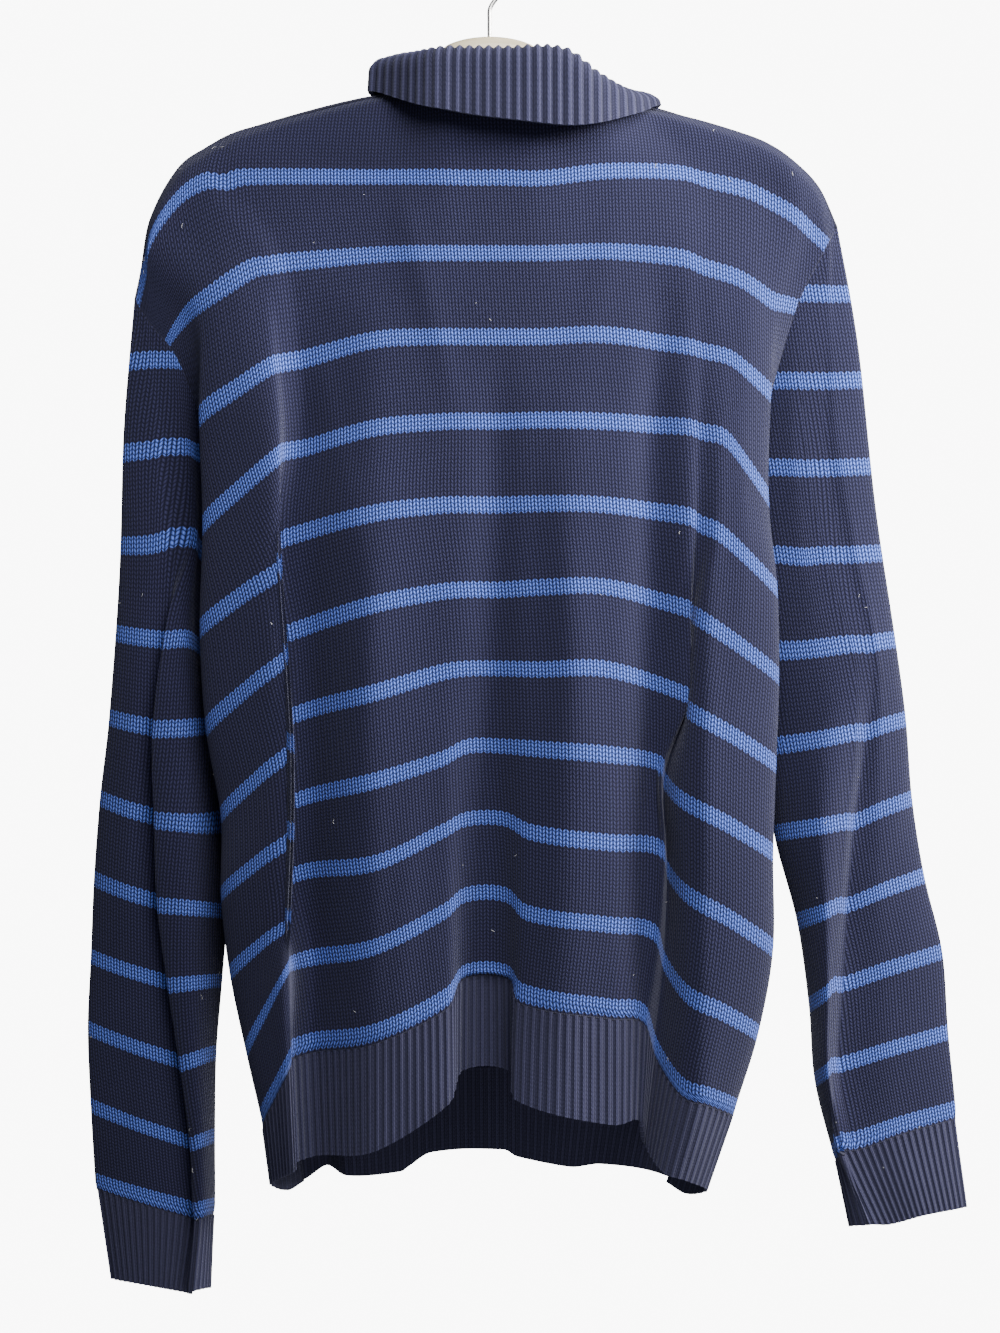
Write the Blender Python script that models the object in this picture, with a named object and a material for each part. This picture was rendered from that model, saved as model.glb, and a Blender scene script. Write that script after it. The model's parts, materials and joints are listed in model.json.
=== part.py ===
"""A striped quarter-zip sweater with a folded ribbed collar, hanging on a wooden hanger.

The garment's back faces -Y and its front, with the zip, faces +Y. The origin is the inner crown of
the hanger's hook. Lengths are in millimetres until a mesh is made, and heights are measured
downwards from the hook's crown. The sections give each knitted stripe as it shows from behind, at
VIEW_DISTANCE, so a fold that stands nearer the eye is drawn in towards the line of sight.
"""

import math

import bpy
import numpy as np
from mathutils import Matrix

MM = 0.001
NAME = "Quarter_zip_sweater"

# Cloth and seams
BODY_WALL = 2.4
RIB_WALL = 2.0
RIB_RISE = 1.1
TAPE_WALL = 1.0
SEAM_GAP = 0.35
HEM_RIB_PITCH = 5.6
CUFF_RIB_PITCH = 4.8
COLLAR_RIB_PITCH = 7.0

# Where the garment is seen from
VIEW_DISTANCE = 1900.0
VIEW_X = 7.0
VIEW_DROP = 493.0

# Front and zip
FRONT_DROP = 48.0
ZIP_X = 14.0
ZIP_SLOT = 9.5
TAPE_UNDER = 6.0
TAPE_OUT = 4.4
SLIDER_DROP = 247.0
SLIDER_WIDTH = 8.4
SLIDER_HEIGHT = 12.0
SLIDER_PLATE = 1.5
BRIDGE_WIDTH = 1.6
BRIDGE_REACH = 4.8
PULL_PIVOT_OUT = 2.6
PULL_WINDOW = 6.2
PULL_LENGTH = 30.0
PULL_WIDTH = 7.0
PULL_THICKNESS = 1.2

# Hanger
HOOK_WIRE = 1.5
HOOK_INNER = 19.0
BAR_TOP_DROP = 71.0
BAR_HALF_DEPTH = 6.2

# How finely the solids follow the sections: parts to each stretch across the back and the front,
# down both of them, and round a sleeve
BACK_ACROSS = (1, 1, 2, 1, 2, 2, 1, 2, 1, 1, 1, 1, 2, 5, 2, 1, 1, 1, 1)
FRONT_ACROSS = (1, 1, 1, 1, 1, 1, 1, 1, 1, 1, 1, 1, 1, 1, 1, 1, 1, 1, 1)
DOWN = (2, 2, 2, 2, 2, 2, 1, 1, 1, 1, 1, 1, 1, 1)
SLEEVE_ROUND = 2

# One row for each stripe of the back, then the top of the rib and its bottom edge. The first ten
# numbers are how far below the hook's crown the stripe crosses each fold line, and the last five
# are how far right of the hook the folds lie.
BACK_COLUMNS = (
    "lobe_l ridge_l panel_l mid_l crease_l crease_r mid_r panel_r ridge_r lobe_r "
    "x_lobe_l x_ridge_l x_panel_r x_ridge_r x_lobe_r"
).split()
BACK_STRIPES = (
    (216, 172, 165, 165, 165, 166, 161, 162, 173, 191, -226, -190, 128, 171, 205),
    (250, 226, 222, 217, 216, 216, 215, 219, 232, 248, -195, -158, 128, 165, 190),
    (325, 292, 287, 274, 272, 272, 271, 278, 286, 309, -194, -147, 131, 161, 188),
    (398, 352, 346, 333, 329, 328, 329, 332, 340, 380, -192, -142, 131, 158, 187),
    (468, 426, 406, 390, 385, 384, 385, 392, 404, 442, -194, -139, 132, 155, 193),
    (534, 485, 468, 451, 443, 440, 440, 454, 461, 500, -190, -135, 132, 141, 194),
    (593, 546, 524, 510, 497, 495, 495, 512, 524, 559, -180, -131, 132, 136, 192),
    (646, 605, 582, 569, 555, 548, 552, 558, 583, 618, -180, -131, 114, 130, 190),
    (699, 662, 632, 624, 603, 604, 611, 615, 646, 682, -174, -133, 115, 133, 190),
    (752, 695, 688, 680, 657, 658, 666, 672, 713, 739, -163, -135, 111, 133, 180),
    (796, 754, 744, 737, 714, 711, 721, 726, 774, 788, -153, -133, 104, 129, 165),
    (803, 762, 752, 745, 722, 719, 729, 734, 781, 795, -152, -133, 104, 128, 163),
    (836, 830, 821, 817, 786, 784, 800, 798, 832, 844, -142, -128, 101, 116, 139),
)
MID_L, CREASE_L, PLEAT_L, PLEAT_R, CREASE_R, MID_R = -75, -27, -18, 13, 18, 80
# The pleat down the middle of the back opens from the seventh stripe to the hem
PLEAT_LIFT = 21.0
PLEAT_DEPTH = 14.0
PLEAT_START = 5.5

# Where each stripe meets the armhole and, from the fifth on, the side seam: x and drop, left, right
SIDE_SEAMS = (
    (-227, 264, 226, 211),
    (-208, 289, 206, 252),
    (-187, 350, 188, 313),
    (-176, 412, 174, 367),
    (-168, 476, 166, 430),
    (-160, 538, 164, 497),
    (-152, 597, 162, 556),
    (-150, 650, 160, 614),
    (-147, 702, 160, 678),
    (-138, 756, 152, 736),
    (-131, 800, 138, 786),
    (-130, 806, 137, 792),
    (-122, 838, 116, 842),
)
UNDERARM = 4
# The columns of each panel that the neck and the zip's slot lie between, and the zip's rows
NECK = {-1: (7, 13), 1: (6, 13)}
SLOT = (9, 10)
ZIP_ROWS = 9
OVER_HANGER = 7.0
NECK_X, NECK_WIDE, NECK_DEEP = 16.0, 84.0, 40.0

# The shoulder line and the back of the neck, as x and drop, one pair for each fold line
BACK_TOP = (
    (-238, 247), (-234, 228), (-228, 194), (-209, 159), (-190, 145), (-178, 139), (-165, 133),
    (-67, 109), (-27, 117), (-13, 119), (6, 120), (18, 120), (62, 120), (100, 118), (134, 125),
    (165, 134), (186, 142), (205, 155), (221, 172), (233, 198),
)
FRONT_TOP = (
    (-238, 247), (-234, 228), (-228, 194), (-209, 159), (-190, 145), (-165, 133), (-67, 109),
    (-64, 123), (-46, 160), (-9, 186), (37, 186), (80, 162), (97, 132), (100, 118), (134, 125),
    (165, 134), (186, 142), (205, 155), (221, 172), (233, 198),
)

# How far each fold line stands off the middle of the garment at the top, over the hanger, at the
# first and second stripes, at the fifth, at the eighth and at the hem
BACK_DEPTHS = (
    ("edge_l", 0, 3, 6, 10, 0, 0, 0),
    ("tuck_l", 0, 6, 8, 16, 20, 22, 14),
    ("lobe_l", 0, 10, 11, 24, 38, 44, 34),
    ("face_l", 0, 11, 13, 28, 56, 66, 50),
    ("ridge_l", 0, 11, 15, 28, 62, 74, 56),
    ("under_l", 0, 11, 15, 28, 46, 54, 44),
    ("panel_l", 0, 11, 16, 28, 42, 46, 38),
    ("mid_l", 0, 11, 26, 32, 46, 52, 46),
    ("crease_l", 31, 33, 35, 38, 48, 54, 52),
    ("pleat_l", 34, 35, 36, 39, 48, 54, 52),
    ("pleat_r", 37, 37, 37, 40, 48, 54, 52),
    ("crease_r", 38, 38, 38, 40, 48, 54, 52),
    ("mid_r", 31, 32, 32, 36, 50, 58, 50),
    ("panel_r", 0, 11, 20, 32, 50, 56, 52),
    ("valley_r", 0, 11, 17, 30, 42, 29, 29),
    ("ridge_r", 0, 11, 15, 28, 44, 48, 44),
    ("face_r", 0, 11, 13, 26, 46, 56, 46),
    ("lobe_r", 0, 10, 12, 20, 34, 40, 30),
    ("tuck_r", 0, 6, 8, 14, 18, 20, 12),
    ("edge_r", 0, 3, 6, 8, 0, 0, 0),
)
FRONT_DEPTHS = (
    ("edge_l", 0, 3, 6, 10, 0, 0, 0),
    ("tuck_l", 0, 6, 8, 16, 20, 22, 14),
    ("lobe_l", 0, 10, 11, 24, 36, 40, 32),
    ("face_l", 0, 11, 13, 30, 52, 60, 48),
    ("ridge_l", 0, 11, 15, 30, 54, 66, 54),
    ("panel_l", 0, 11, 17, 32, 46, 46, 44),
    ("neck_l", 0, 11, 30, 40, 50, 54, 52),
    ("side_l", 13, 18, 34, 41, 49, 55, 53),
    ("collar_l", 28, 31, 38, 42, 48, 56, 54),
    ("slot_l", 42, 42, 43, 43, 47, 54, 54),
    ("slot_r", 42, 42, 43, 43, 47, 54, 54),
    ("collar_r", 28, 31, 38, 42, 50, 58, 54),
    ("side_r", 13, 18, 34, 41, 51, 58, 52),
    ("neck_r", 0, 11, 30, 40, 52, 58, 50),
    ("panel_r", 0, 11, 17, 32, 44, 44, 44),
    ("ridge_r", 0, 11, 15, 30, 52, 64, 52),
    ("face_r", 0, 11, 13, 30, 50, 58, 46),
    ("lobe_r", 0, 10, 12, 22, 34, 38, 30),
    ("tuck_r", 0, 6, 8, 14, 18, 20, 12),
    ("edge_r", 0, 3, 6, 8, 0, 0, 0),
)
DEPTH_ROWS = (0, 1, 2, 3, 6, 9, 14)

# Sleeve sections below the underarm, as x and drop at the outer edge, at the lengthwise fold and at
# the inner edge, how far the fold laps over, and how deep the tube is there
LEFT_SLEEVE = (
    (-245, 335, -205, 400, -180, 520, 0.0, 24),
    (-248, 430, -217, 460, -178, 560, 4.0, 32),
    (-255, 527, -226, 535, -176, 592, 7.0, 38),
    (-261, 581, -225, 596, -176, 622, 8.0, 40),
    (-265, 635, -223, 653, -176, 662, 8.0, 40),
    (-267, 687, -216, 707, -179, 703, 8.0, 38),
    (-269, 735, -208, 760, -183, 751, 7.0, 36),
    (-267, 787, -201, 814, -184, 807, 6.0, 34),
    (-264, 837, -199, 857, -184, 853, 5.0, 32),
    (-263, 843, -198, 865, -185, 860, 5.0, 32),
)
RIGHT_SLEEVE = (
    (247, 278, 218, 345, 178, 475, 0.0, 24),
    (259, 388, 234, 430, 180, 515, 0.0, 32),
    (272, 475, 250, 490, 184, 550, 1.0, 38),
    (279, 528, 248, 546, 187, 580, 4.0, 42),
    (283, 581, 242, 597, 192, 612, 6.0, 42),
    (291, 633, 237, 653, 206, 664, 6.0, 40),
    (303, 684, 234, 706, 214, 720, 6.0, 38),
    (307, 738, 232, 760, 218, 770, 5.0, 36),
    (312, 789, 238, 810, 230, 818, 2.0, 34),
    (312, 796, 240, 817, 232, 824, 1.0, 34),
)
LEFT_CUFF_END = (-254, 903, -204, 913, -187, 909, 4.0, 32)
RIGHT_CUFF_END = (320, 855, 262, 867, 241, 868, 1.0, 34)
# The front of a sleeve's ring: how far from the inner to the outer edge, and the share of the tube's
# depth that it stands forward
SLEEVE_FRONT = ((0.12, 0.3), (0.32, 0.46), (0.5, 0.5), (0.7, 0.46), (0.9, 0.3))
# How far the fold laps over before it is as deep as it gets
FULL_LAP = 5.0

# The collar round the neck, from the zip's left edge over the back to its right edge: how far along
# the neck seam, how high it stands, how far the fold rolls out, and where its loose edge hangs
COLLAR = (
    ("front_left", 0.00, 34, 15, 46),
    ("side_front_left", 0.13, 31, 13, 34),
    ("left", 0.25, 19, 13, 13),
    ("back_left", 0.33, 25, 14, 30),
    ("back_middle_left", 0.41, 35, 15, 41),
    ("back", 0.50, 37, 16, 47),
    ("back_middle_right", 0.58, 36, 17, 50),
    ("back_right", 0.63, 21, 16, 33),
    ("side_right", 0.69, 9, 15, 16),
    ("right", 0.75, 6, 14, 3),
    ("side_front_right", 0.87, 29, 14, 32),
    ("front_right", 1.00, 34, 15, 46),
)

# The top of the hanger's bar on each side: distance from the hook, drop, half height
BAR = (
    (0, 0.0, 11.0),
    (27, 5.0, 11.0),
    (38, 17.0, 11.5),
    (46, 31.0, 12.0),
    (53, 41.5, 12.0),
    (74, 47.0, 12.0),
    (100, 51.5, 12.0),
    (125, 56.5, 12.0),
    (160, 66.5, 11.5),
    (190, 80.5, 10.0),
    (205, 91.5, 8.0),
    (212, 99.0, 4.5),
)
BAR_SIDES = 10


def clear_scene():
    for item in list(bpy.data.objects):
        bpy.data.objects.remove(item, do_unlink=True)
    group = bpy.data.collections.new(NAME)
    bpy.context.scene.collection.children.link(group)
    return group


def material(name, colour, roughness, metallic=0.0):
    made = bpy.data.materials.new(name)
    made.use_nodes = True
    shader = made.node_tree.nodes["Principled BSDF"]
    shader.inputs["Base Color"].default_value = (*colour, 1.0)
    shader.inputs["Roughness"].default_value = roughness
    shader.inputs["Metallic"].default_value = metallic
    made.diffuse_color = (*colour, 1.0)
    return made


def spline(knots, values, at):
    """A smooth curve through the values at the knots, read at each of the places asked for."""
    knots = np.asarray(knots, float)
    values = np.asarray(values, float)
    spread = (-1,) + (1,) * (values.ndim - 1)
    slopes = np.empty_like(values)
    slopes[1:-1] = (values[2:] - values[:-2]) / (knots[2:] - knots[:-2]).reshape(spread)
    slopes[0] = (values[1] - values[0]) / (knots[1] - knots[0])
    slopes[-1] = (values[-1] - values[-2]) / (knots[-1] - knots[-2])
    at = np.asarray(at, float)
    left = np.clip(np.searchsorted(knots, at, side="right") - 1, 0, len(knots) - 2)
    step = (knots[left + 1] - knots[left]).reshape(spread)
    t = (at - knots[left]).reshape(spread) / step
    return (
        (2 * t**3 - 3 * t**2 + 1) * values[left]
        + (t**3 - 2 * t**2 + t) * step * slopes[left]
        + (3 * t**2 - 2 * t**3) * values[left + 1]
        + (t**3 - t**2) * step * slopes[left + 1]
    )


def knots_of(sections):
    """Knots along each section's points, spaced as the points are on average."""
    steps = np.linalg.norm(np.diff(sections[..., :3], axis=1), axis=2).mean(axis=0)
    return np.append(0.0, np.cumsum(steps))


def between(knots, splits):
    """The knots, with the stretch before each but the first cut into its number of equal parts."""
    splits = np.broadcast_to(splits, len(knots) - 1)
    places = [
        start + (end - start) * np.arange(parts) / parts
        for start, end, parts in zip(knots[:-1], knots[1:], splits)
    ]
    return np.append(np.concatenate(places), knots[-1])


def place_of(column, splits):
    """Where a section's column lies in a grid that has been split."""
    return int(np.sum(splits[:column]))


def loft(sections, splits_across, splits_down):
    across = knots_of(sections)
    wide = spline(across, np.swapaxes(sections, 0, 1), between(across, splits_across))
    down = knots_of(wide)
    return spline(down, np.swapaxes(wide, 0, 1), between(down, splits_down))


def seen(points):
    """Points read from behind, drawn in towards the line of sight when they stand nearer the eye."""
    points = np.array(points, float)
    nearer = (VIEW_DISTANCE + np.minimum(points[..., 1], 0.0)) / VIEW_DISTANCE
    points[..., 0] = VIEW_X + (points[..., 0] - VIEW_X) * nearer
    points[..., 2] = -VIEW_DROP + (points[..., 2] + VIEW_DROP) * nearer
    return points


def unit(vectors):
    return vectors / np.linalg.norm(vectors, axis=-1, keepdims=True)


def stepped(line, outs, toward, ring=False):
    """An edge's points moved off it by one seam's gap, square to the edge and to its wall."""
    count = len(line)
    if ring:
        line, outs, toward = (np.concatenate([v[-1:], v, v[:1]]) for v in (line, outs, toward))
    square = unit(np.cross(np.gradient(line, axis=0), outs))
    square *= np.sign(((toward - line) * square).sum(axis=1, keepdims=True))
    runs = np.diff(line, axis=0)
    share = np.ones(len(line))
    for points in (slice(0, -1), slice(1, None)):
        beside = unit(np.cross(runs, outs[points]))
        share[points] = np.minimum(share[points], abs((beside * square[points]).sum(axis=1)))
    moved = line + square * (SEAM_GAP / np.maximum(share, 0.25))[:, None]
    return moved[1 : count + 1] if ring else moved


def normals(grid, ring=False):
    if ring:
        across = np.roll(grid, -1, axis=1) - np.roll(grid, 1, axis=1)
    else:
        across = np.gradient(grid, axis=1)
    return unit(np.cross(np.gradient(grid, axis=0), across))


def level(vectors):
    """The vectors turned into the plane that has no depth, as a seam between front and back needs."""
    return unit(vectors * (1.0, 0.0, 1.0))


def wall(group, name, outer, inner, finish, ring=False, kept=None):
    """A closed wall between two grids of points, with a rim along every open edge."""
    rows, columns = outer.shape[:2]
    count = rows * columns
    faces, sides = [], set()
    for row in range(rows - 1):
        for column in range(columns if ring else columns - 1):
            if kept is not None and not kept[row, column]:
                continue
            after = (column + 1) % columns
            quad = (
                row * columns + column,
                (row + 1) * columns + column,
                (row + 1) * columns + after,
                row * columns + after,
            )
            faces.append(quad)
            faces.append(tuple(count + corner for corner in reversed(quad)))
            sides.update(zip(quad, quad[1:] + quad[:1]))
    points = np.concatenate([outer.reshape(-1, 3), inner.reshape(-1, 3)])
    for start, end in sorted(sides):
        if (end, start) in sides:
            continue
        below, beyond = count + start, count + end
        if math.dist(points[start], points[beyond]) < math.dist(points[end], points[below]):
            faces += [(end, start, beyond), (start, below, beyond)]
        else:
            faces += [(end, start, below), (end, below, beyond)]
    used = sorted({corner for face in faces for corner in face})
    place = {corner: index for index, corner in enumerate(used)}
    mesh = bpy.data.meshes.new(name)
    mesh.from_pydata(
        [tuple(points[corner] * MM) for corner in used],
        [],
        [tuple(place[corner] for corner in face) for face in faces],
    )
    return finished(group, name, mesh, finish)


def finished(group, name, mesh, finish):
    mesh.update()
    mesh.materials.append(finish)
    mesh.shade_smooth()
    mesh.set_sharp_from_angle(angle=math.radians(50))
    made = bpy.data.objects.new(name, mesh)
    group.objects.link(made)
    return made


def pleat_share(index):
    """How far the back's middle pleat has opened at a stripe."""
    return max(0.0, (index - PLEAT_START) / (len(BACK_STRIPES) - 1 - PLEAT_START))


def over_hanger(rows):
    """The rows with one added just below the top edge, where the cloth turns over the hanger."""
    rows = np.array(rows, float)
    return np.insert(rows, 1, rows[0] + OVER_HANGER * unit(rows[1] - rows[0]), axis=0)


def back_sections():
    """Rows of points: the top edge, the turn over the hanger, the stripes and the top of the rib."""
    depth = {row[0]: np.interp(range(15), DEPTH_ROWS, row[1:]) for row in BACK_DEPTHS}
    rows = [[(x, -drop) for x, drop in BACK_TOP]]
    for index, (values, seams) in enumerate(zip(BACK_STRIPES, SIDE_SEAMS)):
        at = dict(zip(BACK_COLUMNS, values))
        left_x, left_drop, right_x, right_drop = seams
        pleat = 0.5 * (at["crease_l"] + at["crease_r"]) - PLEAT_LIFT * pleat_share(index)
        open_left = np.clip((at["ridge_l"] - at["panel_l"]) / 20, 0, 1)
        open_right = np.clip((at["ridge_r"] - at["panel_r"]) / 24, 0, 1)
        stripe = [
            (left_x, left_drop),
            (0.5 * (at["x_lobe_l"] + left_x), 0.45 * at["lobe_l"] + 0.55 * left_drop),
            (at["x_lobe_l"], at["lobe_l"]),
            (
                0.45 * at["x_lobe_l"] + 0.55 * at["x_ridge_l"],
                0.42 * at["lobe_l"] + 0.58 * at["ridge_l"],
            ),
            (at["x_ridge_l"], at["ridge_l"]),
            (
                at["x_ridge_l"] + 13 - 27 * open_left,
                0.5 * (at["ridge_l"] + at["panel_l"]),
            ),
            (at["x_ridge_l"] + 26 - 22 * open_left, at["panel_l"]),
            (MID_L, at["mid_l"]),
            (CREASE_L, at["crease_l"]),
            (PLEAT_L, pleat),
            (PLEAT_R, pleat),
            (CREASE_R, at["crease_r"]),
            (MID_R, at["mid_r"]),
            (at["x_panel_r"], at["panel_r"]),
            (
                0.5 * (at["x_panel_r"] + at["x_ridge_r"]) - 4 * open_right,
                0.5 * (at["panel_r"] + at["ridge_r"]),
            ),
            (at["x_ridge_r"], at["ridge_r"]),
            (
                0.5 * (at["x_ridge_r"] + at["x_lobe_r"]),
                0.55 * at["ridge_r"] + 0.45 * at["lobe_r"],
            ),
            (at["x_lobe_r"], at["lobe_r"]),
            (0.5 * (at["x_lobe_r"] + right_x), 0.5 * (at["lobe_r"] + right_drop)),
            (right_x, right_drop),
        ]
        rows.append([(x, -drop) for x, drop in stripe])
    rows = over_hanger(rows)
    stand = np.array([depth[row[0]] for row in BACK_DEPTHS]).T
    for index in range(len(BACK_STRIPES)):
        stand[index + 2, 9:11] -= PLEAT_DEPTH * pleat_share(index)
    return seen(np.stack([rows[..., 0], -stand, rows[..., 1]], axis=-1))


def front_sections():
    """The front's rows, level with the back's at the side seams and lower towards the middle."""
    depth = {row[0]: np.interp(range(15), DEPTH_ROWS, row[1:]) for row in FRONT_DEPTHS}
    rows = [[(x, -drop) for x, drop in FRONT_TOP]]
    for index, (values, seams) in enumerate(zip(BACK_STRIPES, SIDE_SEAMS)):
        at = dict(zip(BACK_COLUMNS, values))
        left_x, left_drop, right_x, right_drop = seams
        middle = 0.5 * (at["crease_l"] + at["crease_r"]) + FRONT_DROP
        if index == len(BACK_STRIPES) - 1:
            middle = 828.0
        slot = ZIP_SLOT / 2 if index else 13.0
        left, right = at["x_lobe_l"], at["x_lobe_r"]
        places = (
            (left_x, 1.0), (0.5 * (left_x + left), 1.0), (left, 0.97), (0.88 * left, 0.85),
            (0.76 * left, 0.66), (0.66 * left, 0.5), (0.42 * left, 0.2), (0.38 * left, 0.16),
            (0.27 * left, 0.08),
            (ZIP_X - slot, 0.0), (ZIP_X + slot, 0.0),
            (0.38 * right, 0.08), (0.48 * right, 0.16), (0.52 * right, 0.22),
            (0.68 * right, 0.5), (0.78 * right, 0.66),
            (0.89 * right, 0.85), (right, 0.97), (0.5 * (right_x + right), 1.0), (right_x, 1.0),
        )
        row = []
        for x, share in places:
            side = left_drop if x < ZIP_X else right_drop
            row.append((x, -(middle + (side - middle) * share)))
        rows.append(row)
    rows = over_hanger(rows)
    stand = np.array([depth[row[0]] for row in FRONT_DEPTHS]).T
    return np.stack([rows[..., 0], stand, rows[..., 1]], axis=-1)


def panel_grids(side, splits_across, splits_down):
    """A panel's outer points down to the rib's bottom edge, and their outward normals.

    side is -1 for the back and +1 for the front.
    """
    sections = back_sections() if side < 0 else front_sections()
    grid = loft(sections, splits_across, splits_down)
    out = -side * normals(grid)
    first, last = (place_of(column, splits_across) for column in NECK[side])
    shoulder = np.r_[0 : first + 1, last : grid.shape[1]]
    seam = np.r_[place_of(UNDERARM + 2, splits_down) : grid.shape[0]]
    grid[:, 1:-1, 1] = side * np.maximum(grid[:, 1:-1, 1] * side, SEAM_GAP / 2)
    grid[0, shoulder, 1] = side * SEAM_GAP / 2
    out[0, shoulder] = level(out[0, shoulder])
    for edge in (0, -1):
        grid[seam, edge, 1] = side * SEAM_GAP / 2
        out[seam, edge] = level(out[seam, edge])
    if side > 0:
        left, right = (place_of(column, splits_across) for column in SLOT)
        grid[2:, left, 0] = np.minimum(grid[2:, left, 0], ZIP_X - ZIP_SLOT / 2)
        grid[2:, right, 0] = np.maximum(grid[2:, right, 0], ZIP_X + ZIP_SLOT / 2)
    rib_top = out[place_of(len(BACK_STRIPES), splits_down)]
    rib_top[1:-1] = unit(rib_top[:-2] + 2 * rib_top[1:-1] + rib_top[2:])
    return grid, out


def panel(group, name, grid, out, side, finish):
    """The stockinette part of a panel, with the zip's slot left open in the front."""
    rows = place_of(len(BACK_STRIPES), DOWN) + 1
    outer = grid[:rows]
    inner = outer - BODY_WALL * out[:rows]
    inner[..., 1] = side * np.maximum(inner[..., 1] * side, SEAM_GAP / 2)
    kept = np.ones((rows - 1, grid.shape[1] - 1), bool)
    if side > 0:
        left, right = (place_of(column, FRONT_ACROSS) for column in SLOT)
        kept[:ZIP_ROWS, left:right] = False
        outer, inner, kept = outer[:, ::-1], inner[:, ::-1], kept[:, ::-1]
    return wall(group, name, outer, inner, finish, kept=kept)


def along(line):
    """How far along a line of points each of them lies."""
    return np.append(0.0, np.cumsum(np.linalg.norm(np.diff(line, axis=0), axis=1)))


def rib_places(line, pitch):
    """Places along the line for the ribs' crests and valleys, with one at each of its points."""
    length = along(line)
    halves = np.maximum(1, np.round(np.diff(length) / (pitch / 2))).astype(int)
    halves[np.argmax(halves)] += halves.sum() % 2
    return length, between(length, halves)


def ribbed(rows, outs, pitch, wall_thickness, ring=False):
    """Outer and inner points of a band, ribbed outside and plain inside, from its rows of points."""
    if ring:
        rows = np.concatenate([rows, rows[:, :1]], axis=1)
        outs = np.concatenate([outs, outs[:, :1]], axis=1)
    length, places = rib_places(rows[0], pitch)

    def read(values):
        return np.stack([np.interp(places, length, values[:, axis]) for axis in range(3)], axis=1)

    base = np.stack([read(row) for row in rows])
    out = unit(np.stack([read(row) for row in outs]))
    if ring:
        base, out = base[:, :-1], out[:, :-1]
    rise = np.where(np.arange(base.shape[1]) % 2, RIB_RISE, 0.0)[None, :, None]
    return base + (rise - RIB_RISE / 2) * out, base - wall_thickness * out


def hem_rib(group, name, grid, out, side, finish):
    top = place_of(len(BACK_STRIPES), DOWN)
    rows = grid[top:].copy()
    rows[0] = stepped(rows[0], out[top], rows[1])
    outer, inner = ribbed(rows, out[top:], HEM_RIB_PITCH, RIB_WALL)
    if side > 0:
        outer, inner = outer[:, ::-1], inner[:, ::-1]
    return wall(group, name, outer, inner, finish)


def sleeve_ring(section, splits):
    """One section of a sleeve: outer edge, back with its lengthwise fold, inner edge, front."""
    outer_x, outer_drop, fold_x, fold_drop, inner_x, inner_drop, lap, depth = section
    outer = np.array((outer_x, 0.0, -outer_drop))
    fold = np.array((fold_x, 0.0, -fold_drop))
    inner = np.array((inner_x, 0.0, -inner_drop))
    folded = min(1.0, lap / FULL_LAP)

    def at(base, across, back):
        return base + (across, -back * depth, 0.0)

    if outer_x < 0:
        laps = (at(fold, lap, 0.36 + 0.04 * folded), at(fold, 0.0, 0.42 + 0.2 * folded))
    else:
        laps = (at(fold, 0.5 * lap, 0.38), at(fold, -0.5 * lap, 0.42 + 0.16 * folded))
    ring = [
        outer,
        at(0.5 * (outer + fold), 0.0, 0.34),
        *laps,
        at(0.6 * fold + 0.4 * inner, 0.0, 0.44 + 0.3 * folded),
        at(0.18 * fold + 0.82 * inner, 0.0, 0.26 + 0.14 * folded),
        inner,
    ]
    for share, back in SLEEVE_FRONT:
        ring.append(at(inner + (outer - inner) * share, 0.0, -back))
    ring = seen(ring)
    count = len(ring)
    padded = np.concatenate([ring[-3:], ring, ring[:4]])
    knots = knots_of(padded[None])
    smooth = spline(knots, padded, between(knots, splits))
    return smooth[3 * splits : (3 + count) * splits]


def armhole(back, front, edge, splits_down):
    """A ring of values of the panels round the armhole: down the back's edge and up the front's."""
    rows = place_of(UNDERARM + 2, splits_down) + 1
    down, up = back[:rows, edge], front[:rows, edge]
    shoulder, underarm = 0.5 * (down[0] + up[0]), 0.5 * (down[-1] + up[-1])
    return np.concatenate([[shoulder], down[1:-1], [underarm], up[-2:0:-1]])


def beyond_edges(grid, out, splits_down):
    """The grid with its armhole edges moved one seam's gap off it, onto the sleeves."""
    rows = place_of(UNDERARM + 2, splits_down) + 1
    moved = grid[:rows].copy()
    for edge, beside in ((0, 1), (-1, -2)):
        line = moved[:, edge]
        moved[:, edge] = stepped(line, out[:rows, edge], 2 * line - moved[:, beside])
    return moved


def sleeve_grid(panels, edge, table, cuff_end, splits_down, splits_round, splits_length):
    """A sleeve's rings of outer points from the armhole to the cuff's edge."""
    back, front = (beyond_edges(grid, out, splits_down) for grid, out in panels)
    rings = [armhole(back, front, edge, splits_down)]
    rings += [sleeve_ring(section, splits_round) for section in (*table, cuff_end)]
    sections = np.array(rings)
    down = knots_of(np.swapaxes(sections, 0, 1))
    grid = spline(down, sections, between(down, splits_length))
    return grid if edge == 0 else grid[:, ::-1]


def sleeve_normals(grid, panels, edge, splits_down):
    """Outward normals of a sleeve, which lean to the panels' own round the top of the armhole."""
    out = normals(grid, ring=True)
    lean = armhole(panels[0][1], panels[1][1], edge, splits_down)
    share = abs(np.linspace(-1, 1, len(lean) + 1))[:-1, None]
    if edge != 0:
        lean, share = lean[::-1], share[::-1]
    out[0] = unit(share * lean + (1 - share) * out[0])
    return out


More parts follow.
